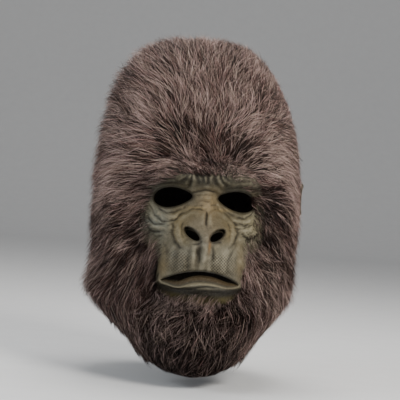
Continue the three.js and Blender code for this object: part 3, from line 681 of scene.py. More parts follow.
def face_sheet(columns, rows, fine, inset=0.0):
    """Grid over the front view with its openings: the points next to an opening are drawn to its outline.
    An inset moves every point back along the sheet's normal."""
    v, u = np.meshgrid(np.linspace(0, 1, rows), np.linspace(-1, 1, columns), indexing="ij")
    z = EYE_Z + FACE_ABOVE - v * (FACE_ABOVE + FACE_BELOW)
    x = u * FACE_HALF * from_table(FACE_OUTLINE, (z - EYE_Z) / FACE_BELOW)
    x, z = x.ravel(), z.ravel()
    gap = np.full(x.shape, FAR_AWAY)
    target = np.stack([x, z], -1)
    for outline in OPENINGS:
        low, high = outline.min(0) - OPENING_MARGIN, outline.max(0) + OPENING_MARGIN
        near = np.flatnonzero((x > low[0]) & (x < high[0]) & (z > low[1]) & (z < high[1]))
        distance, nearest = outline_distance(x[near], z[near], outline)
        closer = distance < gap[near]
        gap[near[closer]] = distance[closer]
        target[near[closer]] = nearest[closer]
    quads = grid_quads(rows, columns, turn=True)
    whole = (gap[quads] > 0).all(1)
    kept = quads[whole]
    edge = np.intersect1d(kept.ravel(), quads[~whole].ravel())
    x[edge], z[edge] = target[edge].T
    gap[edge] = 0
    points = face_points(x, z, gap, fine)
    if inset:
        down, across = np.gradient(points.reshape(rows, columns, 3), axis=(0, 1))
        normal = np.cross(across, down).reshape(-1, 3)
        normal /= np.linalg.norm(normal, axis=1)[:, None] + 1e-12
        normal *= np.sign(normal[:, 1])[:, None]
        points = points + inset * normal
        points[:, 2] = np.clip(points[:, 2], HEM_Z, EYE_Z + FACE_ABOVE)
    return points, kept, gap, np.stack([u.ravel(), 1 - v.ravel()], -1)


def rim_strip(points, loop, first, lean):
    """Strip that carries a hole's edge back into the wall: each ring is the edge moved back by its depth and
    up by its share of the lean."""
    lines = [loop] + [first + k * len(loop) + np.arange(len(loop)) for k in range(len(RIM_RINGS))]
    level = 0 * lean
    rings = [points[loop] + np.stack([level, level + depth, share * lean], -1) for depth, share in RIM_RINGS]
    quads = [np.stack([a, b, np.roll(b, -1), np.roll(a, -1)], -1) for a, b in zip(lines, lines[1:])]
    return np.concatenate(rings), np.concatenate(quads)


def srgb(*values):
    """Linear colour from a colour in 8-bit display values."""
    c = np.array(values, float) / 255
    return np.where(c <= 0.04045, c / 12.92, ((c + 0.055) / 1.055) ** 2.4)


def blurred(values, rounds):
    """Grid smoothed by repeated quarter, half, quarter averages along both ways."""
    for _ in range(rounds):
        for axis in (0, 1):
            before, after = np.roll(values, 1, axis), np.roll(values, -1, axis)
            values = values / 2 + (before + after) / 4
    return values


# Washes of paint in their order: each has its colour and its spots. A spot has its strength, its middle in
# millimetres from the middle line and above the line of the eyes, its half-width and half-height, and the
# power that steepens its edge.
FIRST_WASHES = [
    # pale ochre on the bridge of the nose: its ochre paint with a painted highlight on the raised bridge
    ("bridge of the nose", (142, 120, 84), [(0.6, 0, -4, 17, 16, 1)]),
    ("ochre beside the nose", (122, 104, 66), [(0.55, -26, -30, 9, 14, 1), (0.55, 27, -27, 9, 14, 1)]),
    ("ball of the nose", (106, 95, 75), [(0.65, 0, -26, 20, 10, 1.5)]),
    # pale grey beige on the upper lip, strong on its right half: painted light from the right
    ("pale upper lip", (136, 131, 113), [(0.11, -16, -58, 17, 12, 1.6), (0.85, 22, -56, 14, 12, 1.6)]),
    # dark groove under the nose and pale ridges beside it: painted shade in the groove, painted highlights on
    # the ridges
    ("groove under the nose", (66, 54, 44), [(0.6, -5.7, -50, 3, 10, 1)]),
    ("ridge right of the groove", (150, 142, 122), [(0.5, 1.3, -52, 2, 13, 1)]),
    ("ridge left of the groove", (130, 124, 106), [(0.5, -11, -54, 2.2, 12, 1)]),
    ("ochre run", (128, 92, 44), [(0.7, 4.6, -44, 1.5, 8, 1)]),
    ("tip between the nostrils", (66, 46, 26), [(0.6, 2, -38, 3, 3.5, 1)]),
    # painted highlights along the top edges of the nose's lobes
    ("painted highlight on the lobes", (156, 134, 88), [(0.5, 22, -9.5, 11, 1.6, 1), (0.5, -8, -9, 8, 1.6, 1)]),
    # dark outer lids: dark paint round the eyes with painted shade, stronger at the left eye
    ("dark outer lids", (32, 31, 25), [(0.45, -46, 14, 16, 9, 1), (0.18, 44, 10, 14, 4, 1)]),
    ("ochre beside the mouth", (120, 102, 66), [(0.5, -37, -66, 5, 22, 1), (0.5, 38, -62, 5, 22, 1)]),
    # pale bluish grey on the left cheek: its grey paint with painted light from the left
    ("grey left cheek", (104, 108, 100), [(0.55, -50, -26, 14, 16, 1)]),
    # pale right cheek: painted light from the right
    ("pale right cheek", (138, 130, 102), [(0.75, 50, -24, 13, 16, 1)]),
]
LATER_WASHES = [
    # dark eyes: painted shade in the eye sockets over the mask's dark paint, stronger at the left eye
    ("dark left eye", (44, 42, 35), [(0.5, -34, 2, 26, 14, 1.5)]),
    ("dark right eye", (52, 48, 36), [(0.35, 36, 2, 24, 13, 1.5)]),
    # painted light on the right brow, over the dark brow wash
    ("painted light on the right brow", (84, 78, 62), [(0.5, 38, 20, 18, 6, 1)]),
]


def spots(x, up, rows):
    """Sum of spots: each the exponential of minus a power of the squared scaled distance from its middle."""
    return sum(
        strength * np.exp(-((((x - middle) / wide) ** 2 + ((up - height) / tall) ** 2) ** edge))
        for strength, middle, height, wide, tall, edge in rows
    )


def face_paint(x, z, relief, gap, shape):
    """Colour of the moulded face: olive, ochre by the nose, dark lips, painted highlights on what stands out,
    and painted shade in folds and hollows, round the eyes, under the lower lip and on the brow.
    Each wash moves the colour towards its own by its amount at the place."""
    up = z - EYE_Z
    flat = np.stack([x, up], -1)
    grid = relief.reshape(shape)
    cavity = (grid - blurred(grid, 26)).ravel()
    crease = (grid - blurred(grid, 5)).ravel()
    bands = ripple(np.stack([x, 0.12 * up], -1), 8, 33) * spots(x, up, [(1, 0, -58, 36, 14, 3)])
    on_lip = (up < -73 - MOUTH_SAG * (x / 40) ** 2) & (np.abs(x) < 41) & (up < -74) & (up > -90)
    washes = [(0.55 * smooth(0.5 + 0.5 * ripple(flat, 30, 7)), (92, 92, 84))]
    washes += [(spots(x, up, rows), tint) for _, tint, rows in FIRST_WASHES]
    # dark brow: the brow's dark olive with painted shade under the overhanging fur
    washes.append((0.86 * smooth((up - 9) / 9), (38, 36, 29)))  # brow
    washes += [(spots(x, up, rows), tint) for _, tint, rows in LATER_WASHES]
    washes += [
        # painted shade under the lower lip
        (0.97 * smooth((-84 - up) / 3), (16, 11, 3)),  # under the lower lip
        (0.7 * smooth((-91 - up) / 6), (82, 73, 34)),  # chin
        # painted shade on the sides of the face, next to the fur
        (0.55 * smooth((np.abs(x + 2) - 52) / 14), (60, 58, 50)),  # sides
        # dark hollows and folds: the mask's dark wash in its creases with painted shade
        (0.66 * smooth(-cavity / 1.3), (36, 30, 18)),  # hollows
        (0.5 * smooth(-crease / 0.55), (26, 20, 12)),  # folds
        # painted highlight on what stands out
        (0.4 * smooth((cavity - 0.05) / 0.8) * smooth((up + 88) / 5), (146, 138, 116)),  # what stands out
        # darker left half of the upper lip: painted shade on the side away from the light
        (spots(x, up, [(0.32, -17, -60, 15, 11, 1.6)]), (62, 58, 46)),  # left half of the upper lip
        (0.25 * smooth(0.4 * ripple(flat, 4, 31)), (70, 62, 46)),  # specks
        (0.32 * smooth(bands), (60, 55, 43)),  # dark streaks of the upper lip
        (0.24 * smooth(-bands), (142, 136, 118)),  # pale streaks of the upper lip
        (0.8 * bell(gap, 0, 1.8), (40, 35, 25)),  # rims of the openings
        # painted highlight along the edge of the lower lip
        (0.65 * on_lip * bell(gap, 1.6, 1.1), (132, 123, 100)),  # edge of the lower lip
    ]
    colour = np.tile(srgb(92, 85, 66), (len(x), 1))
    for amount, tint in washes:
        amount = np.clip(amount, 0, 1)[:, None]
        colour = colour * (1 - amount) + srgb(*tint) * amount
    return colour


BARE_WALL, LIP_INSIDE = srgb(42, 36, 24), srgb(66, 54, 34)
FRONT_MAP, BACK_MAP = (0.02, 0.82), (0.87, 0.12)  # start and width of the two sheets in the map


def pricked_lip(x, up):
    """Where the upper lip is pricked: beside its groove, from below the nose down to the mouth."""
    beside = smooth((np.abs(x + 3) - 7) / 6) * bell(x, 0, 35, 8)
    return beside * (smooth((-48 - up) / 7) * smooth((up + 74) / 4))


def moulded_face():
    """The face: a fine outer sheet, a plain inner sheet, and strips that close its openings and its edge."""
    outer, quads, gap, uv = face_sheet(*FACE_GRID, True)
    inner, inner_quads, _, inner_uv = face_sheet(*FACE_BACK_GRID, False, WALL)
    relief = face_relief(outer[:, 0], outer[:, 2]) * near_fade(gap)
    points, faces = [outer], [quads]
    maps = [np.stack([FRONT_MAP[0] + FRONT_MAP[1] * (uv[:, 0] + 1) / 2, uv[:, 1]], -1)]
    count = len(outer)
    for loop in boundary_loops(quads):
        share = np.clip(outer[loop, 0] / (MOUTH_LENGTH / 2), -1, 1)
        middle = EYE_Z - MOUTH_DROP - MOUTH_SAG * share**2
        level = outer[loop, 2].mean() - EYE_Z + MOUTH_DROP
        is_lip = len(loop) < LONGEST_RIM and abs(level) < OPENING_MARGIN
        lean = is_lip * (outer[loop, 2] < middle) * LIP_RISE * np.sqrt(1 - share**2)
        ring, strip = rim_strip(outer, loop, count, lean)
        points.append(ring)
        faces.append(strip)
        maps.append(np.tile(maps[0][loop], (len(RIM_RINGS), 1)))
        if is_lip:
            lip_inside = count + np.arange(len(ring))
        count += len(ring)
    points.append(inner)
    faces.append(inner_quads[:, ::-1] + count)
    across = BACK_MAP[0] + BACK_MAP[1] * (inner_uv[:, 0] + 1) / 2
    maps.append(np.stack([across, inner_uv[:, 1] * BACK_MAP[1]], -1))
    points = np.concatenate(points)
    piece = build_mesh("moulded_face", points, [np.concatenate(faces)])
    set_uv(piece, np.concatenate(maps))
    paint = np.tile(BARE_WALL, (len(points), 1))
    paint[: len(outer)] = face_paint(outer[:, 0], outer[:, 2], relief, gap, FACE_GRID[::-1])
    paint[lip_inside] = LIP_INSIDE
    set_colour(piece, "paint", paint)
    pricked = pricked_lip(points[:, 0], points[:, 2] - EYE_Z)
    set_colour(piece, "pricks", np.tile(pricked[:, None], 3))
    return piece


PRICK_WAVE = 2 * math.pi / 0.003
PORE_SCALE = 620.0
RUBBER_SHINE = 0.2


def rubber_finish(name, roughness, tint=None, pricks=False):
    """Painted moulded rubber: mottled colour, fine pores and a dull shine that varies. Pricks are rows of
    dark dots: the product of two sines of the place."""
    finish = Finish(name, roughness, RUBBER_SHINE)
    place = finish.place()
    if tint is None:
        colour = finish.node("VertexColor", layer_name="paint").outputs["Color"]
    else:
        colour = finish.mix(finish.noise(90, place), tint, tuple(0.6 * c for c in tint))
    if pricks:
        axes = finish.node("SeparateXYZ", {0: place}).outputs
        scaled = [finish.math("MULTIPLY", axes[k], PRICK_WAVE) for k in (0, 2)]
        waves = [finish.math("SINE", value, 0.0) for value in scaled]
        dots = finish.span(finish.math("MULTIPLY", *waves), -0.2, 0.5, 0, 0.9)
        mask = finish.node("VertexColor", layer_name="pricks").outputs["Color"]
        colour = finish.mix(finish.math("MULTIPLY", dots, mask), colour, (0.16, 0.14, 0.12), "MULTIPLY")
    mottle = finish.noise(260, place, 5)
    colour = finish.mix(finish.span(mottle, 0.35, 0.7, 0, 0.35), colour, (0.3, 0.27, 0.2), "MULTIPLY")
    fine = finish.noise(900, place, 3)
    colour = finish.mix(finish.span(fine, 0.5, 0.75, 0, 0.12), colour, (0.3, 0.28, 0.22), "SCREEN")
    finish.to("Base Color", colour)
    finish.to("Roughness", finish.span(mottle, 0.3, 0.7, roughness - 0.1, roughness + 0.15))
    cells = finish.node("TexVoronoi", {"Vector": place, "Scale": PORE_SCALE}, feature="DISTANCE_TO_EDGE")
    pores = finish.span(cells.outputs["Distance"], 0, 0.25, 0, 1)
    skin = finish.math("ADD", pores, finish.math("MULTIPLY", fine, 0.8))
    finish.to("Normal", finish.bump(skin, 0.5, 0.0005))
    return finish.material


face = moulded_face()
face.data.materials.append(rubber_finish("painted_face_rubber", 0.5, pricks=True))
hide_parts("face_skin")


# Hood
HOOD_GRID = (120, 64)
DOME_ROWS = 0.62  # share of the rows above the line of the eyes
SEAM_LAP = 4  # how far the hood reaches under the edge of the face
CROWN_RING = 0.02  # drop of the small ring at the crown
CHIN_HALF = 53  # half-width of the stretch where the face and not the hood reaches the hem
HOOD_DARK, HOOD_CHEEK = srgb(52, 46, 43), srgb(58, 56, 48)


def hood_sheet(inset, turn):
    """Head form at an inset, from a small ring at the crown to the hem, without the window of the face. The
    rows follow the cosine of their share down to the eyes and then fall evenly."""
    columns, rows = HOOD_GRID
    azimuth = np.linspace(0, 2 * math.pi, columns, endpoint=False)
    drop = np.linspace(0, 1, rows)
    dome = EYE_Z + (CROWN_Z - EYE_Z) * np.cos(np.clip(drop / DOME_ROWS, 0, 1) * math.pi / 2)
    z = np.where(drop < DOME_ROWS, dome, EYE_Z + (HEM_Z - EYE_Z) * (drop - DOME_ROWS) / (1 - DOME_ROWS))
    z[0] = CROWN_Z - CROWN_RING
    grid = ring_points(azimuth[None, :], z[:, None], inset)
    level = inset * np.clip((z - EYE_Z) / (CROWN_Z - EYE_Z), 0, 1) ** 3
    grid[..., 2] -= level[:, None]
    points = grid.reshape(-1, 3)
    quads = grid_quads(rows, columns, wrap=True, turn=turn)
    inside = face_half(points) - np.abs(points[:, 0]) > SEAM_LAP
    window = (points[:, 1] < 0) & inside & (points[:, 2] < EYE_Z + FACE_ABOVE - SEAM_LAP)
    return points, quads[~window[quads].any(1)]


def lined_hood():
    """The hood: outer and inner sheets of the head form, joined along the hem outside the face."""
    outer, outer_quads = hood_sheet(0.0, True)
    inner, inner_quads = hood_sheet(WALL, False)
    last = len(outer) - HOOD_GRID[0] + np.arange(HOOD_GRID[0])
    hem = np.stack([last, np.roll(last, -1), np.roll(last, -1) + len(outer), last + len(outer)], -1)
    low = ~((np.abs(outer[last, 0]) < CHIN_HALF) & (outer[last, 1] < 0))
    hem = hem[low & np.roll(low, -1)]
    points = np.concatenate([outer, inner])
    piece = build_mesh("lined_hood", points, [np.concatenate([outer_quads, inner_quads + len(outer), hem])])
    turn = (np.arctan2(points[:, 0], -points[:, 1]) / (2 * math.pi)) % 1
    half = np.repeat([0, 0.5], [len(outer), len(inner)])
    set_uv(piece, np.stack([turn, half + 0.48 * (points[:, 2] - HEM_Z) / HEM_DROP], -1))
    beyond = np.abs(points[:, 0]) - face_half(points)
    cheek = smooth(1.1 - beyond / 22) * (points[:, 1] < 0) * (np.arange(len(points)) < len(outer))
    cheek = cheek[:, None] * smooth((EYE_Z + 12 - points[:, 2]) / 14)[:, None]
    set_colour(piece, "paint", HOOD_DARK * (1 - cheek) + HOOD_CHEEK * cheek)
    return piece


hood = lined_hood()
hood.data.materials.append(rubber_finish("hood_rubber", 0.75))
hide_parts("hood_shell")

# Ears
EAR_HEIGHT, EAR_DEPTH, EAR_STANDOFF, EAR_SETBACK, EAR_RISE = 40.0, 25.0, 21.0, 8.0, 6.0
EAR_PROFILE = [
    # reach from the middle as a share of half the ear, height as a share of the standoff
    (1.0, -0.02), (1.0, 0.15), (0.99, 0.35), (0.95, 0.52), (0.87, 0.66), (0.8, 0.73), (0.72, 0.74),
    (0.66, 0.69), (0.62, 0.6), (0.58, 0.56), (0.5, 0.58), (0.44, 0.55), (0.38, 0.42), (0.3, 0.3), (0.2, 0.22),
    (0.1, 0.19), (0.0, 0.18),
]
EAR_GRID = (60, 90)  # rings and points round each


def moulded_ear(side, name):
    """Ear: the profile carried round an oval that waves a little, with a lower front rim."""
    profile = np.array(EAR_PROFILE)
    rings, around = EAR_GRID
    steps = np.linspace(0, len(profile) - 1, rings)
    reach, height = (np.interp(steps, np.arange(len(profile)), profile[:, k]) for k in (0, 1))
    for values in (reach, height):
        for _ in range(2):
            values[1:-1] = (values[:-2] + 2 * values[1:-1] + values[2:]) / 4
    angle = np.linspace(0, 2 * math.pi, around, endpoint=False)[None, :]
    rise = height[:, None] * (1 - 0.3 * bell(angle, math.pi, 0.8))
    wave = 1 + 0.03 * np.sin(3 * angle + 0.6) + 0.02 * np.sin(5 * angle)
    anchor = HALF_WIDTH * (1 - (EAR_SETBACK / BACK_REACH) ** SQUARENESS) ** (1 / SQUARENESS)
    x = side * (anchor + EAR_STANDOFF * rise)
    y = EAR_SETBACK + EAR_DEPTH / 2 * reach[:, None] * np.cos(angle) * wave
    z = EYE_Z + EAR_RISE + EAR_HEIGHT / 2 * reach[:, None] * np.sin(angle) * wave
    points = np.stack([x, y, z], -1).reshape(-1, 3)
    piece = build_mesh(name, points, [grid_quads(rings, around, wrap=True, turn=side > 0)])
    u = np.broadcast_to(angle / (2 * math.pi), y.shape).ravel()
    set_uv(piece, np.stack([u, np.repeat(np.linspace(0, 1, rings), around)], -1))
    piece.data.materials.append(EAR_RUBBER)
    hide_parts("ear_left" if side < 0 else "ear_right")


EAR_RUBBER = rubber_finish("ear_rubber", 0.6, tuple(srgb(76, 68, 53)))
moulded_ear(-1, "moulded_ear_left")
moulded_ear(1, "moulded_ear_right")

# Flow of the fur
FUR_DEPTH, FUR_EDGE, FUR_RISE, FUR_FADE, TIP_DEPTH = 27.0, 3.5, 34.0, 34.0, 1.6
SIDE_FRINGE, BEARD_LENGTH = 13.0, 60.0
FLOW_START, FLOW_END = 24.0, 100.0
FRINGE = [(1, SIDE_FRINGE / BEARD_LENGTH), (0.8, 0.3), (0.62, 0.55), (0.47, 0.8), (0.25, 0.96), (0, 1)]
FUR_LOFT = [(0, 0.74), (-0.4, 0.62), (-0.57, 0.58), (-0.76, 0.66), (-0.9, 0.88), (-1, 1)]
EARLY = 0.34  # how far inside the hairline the flow is followed


def flow_ray(turn, flow):
    """Ray at a place of the flow: circles on a sphere that all run from a point of the face to one of the
    neck. The circle's turn and the logarithm of its progress are mapped by a quotient of two straight lines
    of a complex number, and then from the plane to the sphere."""
    middle = math.radians((FLOW_START + FLOW_END) / 2)
    spread = math.tan(math.radians((FLOW_END - FLOW_START) / 4))
    w = np.exp(flow + 1j * turn)
    top, under = -spread * (1 + w), 1 - w
    size = np.abs(top) ** 2 + np.abs(under) ** 2
    plane = 2 * top * np.conj(under) / size
    toward = (np.abs(under) ** 2 - np.abs(top) ** 2) / size
    along, across = plane.real, plane.imag
    return np.stack(
        [
            -across,
            along * math.sin(middle) - toward * math.cos(middle),
            -along * math.cos(middle) - toward * math.sin(middle),
        ],
        -1,
    )


def beyond_hairline(p):
    """True outside the visible face."""
    up = (p[..., 2] - EYE_Z) / FACE_BELOW
    aside = np.abs(p[..., 0]) >= FACE_HALF * from_table(HAIRLINE, up)
    return (p[..., 1] > 0) | aside | (up > HAIRLINE[0][0])


def settle(test, miss, hit):
    """Place between two values where a test starts to hold, by halving."""
    for _ in range(FLOW_HALVINGS):
        half = (miss + hit) / 2
        holds = test(half)
        miss, hit = np.where(holds, miss, half), np.where(holds, half, hit)
    return hit


class FurFlow:
    """The wall under the fur on a grid of turn and distance from the hairline."""

    TURNS, STEPS = 361, 140
    FLOWS = np.linspace(-4, 4.5, 150)  # places tried along each circle
    PATH_STEPS = 180

    def __init__(self):
        """Follows each circle from inside the hairline to the hem and divides it into even steps."""
        self.turn = np.linspace(-math.pi, math.pi, self.TURNS)
        start, end = self.ends()
        reach = end - start + EARLY
        share = np.linspace(0, 1, self.PATH_STEPS)[:, None]
        path = surface_along(flow_ray(self.turn[None, :], start - EARLY + reach * share))
        steps = np.linalg.norm(np.diff(path, axis=0), axis=2)
        length = np.concatenate([np.zeros((1, self.TURNS)), np.cumsum(steps, 0)])
        place = EARLY / reach * (self.PATH_STEPS - 1)
        k = place.astype(int)
        part = place - k
        columns = np.arange(self.TURNS)
        self.early = length[k, columns] * (1 - part) + length[k + 1, columns] * part
        self.hem = length[-1] - self.early
        self.grid = np.empty((self.STEPS, self.TURNS, 3))
        for j in range(self.TURNS):
            at = np.linspace(0, length[-1, j], self.STEPS)
            for axis in range(3):
                self.grid[:, j, axis] = np.interp(at, length[:, j], path[:, j, axis])
        foot = path[-1]
        out = np.where(foot[:, 1] < 0, np.abs(foot[:, 0]) / HALF_WIDTH, 1)
        self.total = self.hem + BEARD_LENGTH * from_table(FRINGE, out)

    def ends(self):
        """Progress of each circle at the hairline and at the hem."""
        grid = surface_along(flow_ray(self.turn[None, :], self.FLOWS[:, None]))
        first = beyond_hairline(grid).argmax(0)
        last = len(self.FLOWS) - 1 - (grid[::-1, :, 2] > HEM_Z).argmax(0)
        start = settle(
            lambda flow: beyond_hairline(surface_along(flow_ray(self.turn, flow))),
            self.FLOWS[first - 1],
            self.FLOWS[first],
        )
        end = settle(
            lambda flow: surface_along(flow_ray(self.turn, flow))[:, 2] > HEM_Z,
            self.FLOWS[last + 1],
            self.FLOWS[last],
        )
        return start, end

    def column(self, values, turn):
        """Value at a turn, by straight lines between the grid's turns."""
        return np.interp(wrapped(turn), self.turn, values)

    def wall(self, turn, distance):
        """Point of the wall, or of the line straight down below its hem."""
        u = np.clip((wrapped(turn) / (2 * math.pi) + 0.5) * (self.TURNS - 1), 0, self.TURNS - 1.001)
        early, hem = self.column(self.early, turn), self.column(self.hem, turn)
        v = np.clip((distance + early) / (hem + early), 0, 1) * (self.STEPS - 1.001)
        i, j = v.astype(int), u.astype(int)
        a, b = (v - i)[..., None], (u - j)[..., None]
        near = self.grid[i, j] * (1 - b) + self.grid[i, j + 1] * b
        far = self.grid[i + 1, j] * (1 - b) + self.grid[i + 1, j + 1] * b
        p = near * (1 - a) + far * a
        p[..., 2] -= np.maximum(0, distance - hem)
        return p

    def depth(self, turn, distance):
        """Full depth of the fur: grows from the hairline, follows the loft table, thins to its tips."""
        z = self.wall(turn, distance)[..., 2]
        full = FUR_DEPTH * from_table(FUR_LOFT, z / HEM_DROP)
        grown = FUR_EDGE + (full - FUR_EDGE) * smooth(distance / FUR_RISE)
        left = np.clip((self.column(self.total, turn) - distance) / FUR_FADE, 0, 1)
        return TIP_DEPTH + (grown - TIP_DEPTH) * left**0.6


def outward(p):
    """Unit vector away from the middle line of the head: level below its middle, radial above it."""
    away = p.copy()
    away[..., 2] -= np.minimum(p[..., 2], CENTRE[2])
    return away / np.linalg.norm(away, axis=-1)[..., None]


FLOW = FurFlow()

# Fur
LOCK_LENGTH, LOCK_WIDTH = 13.0, 4.4
HAIR_WIDTHS = (0.14, 0.26)  # half-widths
UNDERCOAT_GRID = (64, 76)
SECTOR_GAP = 0.15  # degrees between the undercoat and the edge of its sector
UNDERCOAT_START, UNDERCOAT_END = 1.4, 3  # widths of the thinly haired skin, and millimetres to the tips
UNDERCOAT_DEPTH, UNDERCOAT_LOCKS = 0.5, 0.14  # share of the fur's depth, and what the deepest locks add
BACKING_GAP = 0.4  # rubber to the backing
TUFT_DROP, TUFT_REACH = 258.0, 7.0  # tuft at the left of the jaw


class Locks:
    """Rows of locks laid like shingles over the flow; each has a middle turn and a few random values."""

    ROWS = 48

    def __init__(self):
        """Divides each row into locks of about one width, with their middles moved at random."""
        rng = np.random.default_rng(SEED)
        self.turn = np.linspace(-math.pi, math.pi, 1441)
        self.widths, self.middles, self.shades = [], [], []
        for row in range(self.ROWS):
            at = FLOW.wall(self.turn, np.full(self.turn.shape, (row + 0.5) * LOCK_LENGTH))
            width = np.concatenate([[0], np.cumsum(np.linalg.norm(np.diff(at, axis=0), axis=1))])
            count = max(8, int(width[-1] / LOCK_WIDTH))
            width = width / width[-1] * count
            centre = np.arange(count) + 0.5 + rng.uniform(-0.3, 0.3, count)
            self.widths.append(width)
            self.middles.append(np.interp(centre, width, self.turn))
            self.shades.append(rng.uniform(0, 1, (count, 4)))

    def find(self, turn, distance):
        """Middle turn and random values of the lock that each place belongs to."""
        wavy = distance + 6 * ripple(FLOW.wall(turn, distance), 26, 11)
        row = np.clip((wavy / LOCK_LENGTH).astype(int), 0, self.ROWS - 1)
        middle, values = np.zeros(turn.shape), np.zeros((*turn.shape, 4))
        for k in np.unique(row):
            here = row == k
            level = wrapped(turn[here])
            column = np.interp(level, self.turn, self.widths[k]).astype(int) % len(self.middles[k])
            middle[here] = self.middles[k][column] + turn[here] - level
            values[here] = self.shades[k][column]
        return middle, values


LOCKS = Locks()

# Columns: turn in degrees from the top of the face, and how far hairs grow inside the hairline
INSIDE = [(180, 13), (150, 10), (130, 12), (108, 14), (92, 8), (60, 6), (40, 10), (20, 20), (0, 24)]
# Columns: turn in degrees, and width of the thinly haired skin past the hairline
BARE = [
    (180, 4), (150, 3), (122, 0), (110, 1), (99, 7), (89, 14), (80, 15), (68, 11), (56, 6), (40, 2), (0, 0),
]
# Columns: height, and how far the fur leans to the left
LEAN = [
    (20, 10), (-5, 12.5), (-27, 12), (-46, 9.5), (-75, 7.5), (-110, 5.5), (-230, 3.5), (-290, 4), (-330, 0),
]
EARLY_SHARE = 0.045  # share of the hairs that stand inside the hairline
ROOT_END = 6  # last roots to the tips
CROWN_HAIR, BEARD_HAIR = (8, 22), (14, 38)  # length at the hairline, and full length
GROWTH_START, GROWTH_REACH = -8, 36  # where past the hairline the length starts to grow, and over how far
SIDE_FALL, OWN_LEAN, LOCK_LEAN = 0.85, 0.24, 0.4  # angles in radians
SWIRLS = [(0.24, 48, 61), (0.2, 17, 62), (0.15, 6, 63)]  # angle, wave and seed
LOW_ENDS = (0.05, 0.5)  # shares of the fur's depth between which hairs start
LIFT, LOCK_LIFT, OWN_LIFT, LOOSE_LIFT = 0.8, 0.26, 0.07, 0.42  # shares of the depth that tips reach
RIBBON_TURN = 0.8  # spread of the angles between ribbons and the surface of the fur
TONE, LOCK_TONE, OWN_TONE = 0.32, 0.12, 0.33
LOOSE_SHARE, LOOSE_LEAN, LOOSE_FALL, HAIR_FALL = 0.14, 0.35, 2.5, 0.8
# Pale hairs: partly pale guard hairs, partly painted glints that stand in for the shine of hair
PALE_GLINT_SHARE, PALE_GLINT_WIDTH, PALE_GLINT_TONE = 0.12, 1.3, 0.64
CURL, CURL_WAVE = 0.3, 4.5  # spread of the curl, and its angle from root to tip
GATHER, LOOSE_GATHER, OWN_GATHER = 0.27, 0.05, (0.3, 1.2)  # how far hairs close up in their lock
WISPS = [(1, 4, 71), (0.5, 2.2, 72)]  # share, wave and seed
WISP_REACH = 0.7
OWN_LENGTHS, LEAST_LENGTH, LOCK_GAIN = (0.7, 1.2), 0.85, 0.3  # shares of the length
SMALL_TURN, LEAST_RADIUS = 0.01, 12  # for the width of a turn, which shrinks where the circles meet
SPILL, SIDE_SPILL, LOCK_SPILL = 1, 2, 9  # how far hairs pass the end of the fur: all, at the sides, by lock
HIGHEST_LIFT = 1.3


def bare(turn):
    """Width of the thinly haired skin past the hairline."""
    return from_table(BARE, off_top(turn))


def leaned(points, share):
    """Points shifted to the left by the lean at their height, in full at the outer form of the fur."""
    points[..., 0] -= from_table(LEAN, points[..., 2]) * np.clip(share, 0, 1.1)
    return points


def root_places(low, high, count, rng):
    """Random roots between two turns, spread evenly over the fur and thinly inside the hairline."""
    columns, rows = 80, 160
    edges = np.linspace(low, high, columns + 1)
    t, s = np.meshgrid(edges, np.linspace(0, 1, rows + 1), indexing="ij")
    p = FLOW.wall(t, bare(t) + s * (FLOW.column(FLOW.total, t) - ROOT_END - bare(t)))
    p = p + outward(p) * 8
    area = np.linalg.norm(np.cross(p[1:, :-1] - p[:-1, :-1], p[:-1, 1:] - p[:-1, :-1]), axis=-1)
    chosen = rng.choice(area.size, count, p=area.ravel() / area.sum())
    i, j = np.unravel_index(chosen, area.shape)
    turn = edges[i] + rng.uniform(0, 1, count) * (edges[1] - edges[0])
    start = bare(turn)
    share = (j + rng.uniform(0, 1, count)) / rows
    distance = start + share * (FLOW.column(FLOW.total, turn) - ROOT_END - start)
    inside = from_table(INSIDE, off_top(turn))
    cheek = bell(off_top(turn), 90, 26)
    early = rng.uniform(0, 1, count) < EARLY_SHARE * (1 + 0.3 * cheek)
    border = start[early] + 2
    share = rng.uniform(0, 1, early.sum()) ** (1.25 + 0.9 * cheek[early])
    distance[early] = border - (inside[early] + border) * share
    return turn, distance


def hair_length(turn, past):
    """Length of the hair: short at the hairline, longer on the cheeks, longest in the beard."""
    beard = smooth((np.abs(wrapped(turn)) - math.radians(80)) / math.radians(50))
    start, grown = (a + (b - a) * beard for a, b in zip(CROWN_HAIR, BEARD_HAIR))
    return start + (grown - start) * smooth((past - GROWTH_START) / GROWTH_REACH)


def hair_lean(turn, p, values, rng):
    """Angle between a hair and the flow, towards the lower side: the fall of the hair at the sides, broad
    and fine swirls, the lock's own lean and a little of its own."""
    level = np.abs(wrapped(turn))
    fall = SIDE_FALL * np.sin(level) * (1 - 0.45 * smooth((level - 1.9) / 0.9))
    own = rng.normal(0, OWN_LEAN, len(turn)) + LOCK_LEAN * (values[:, 3] - 0.5)
    swirl = sum(angle * ripple(p, wave, seed) for angle, wave, seed in SWIRLS)
    return fall + own + swirl * np.sign(wrapped(turn))


def running_sum(values):
    """Sum so far of the means of neighbouring rows, from none at the first row."""
    return np.concatenate([np.zeros((1, values.shape[1])), np.cumsum((values[1:] + values[:-1]) / 2, 0)])


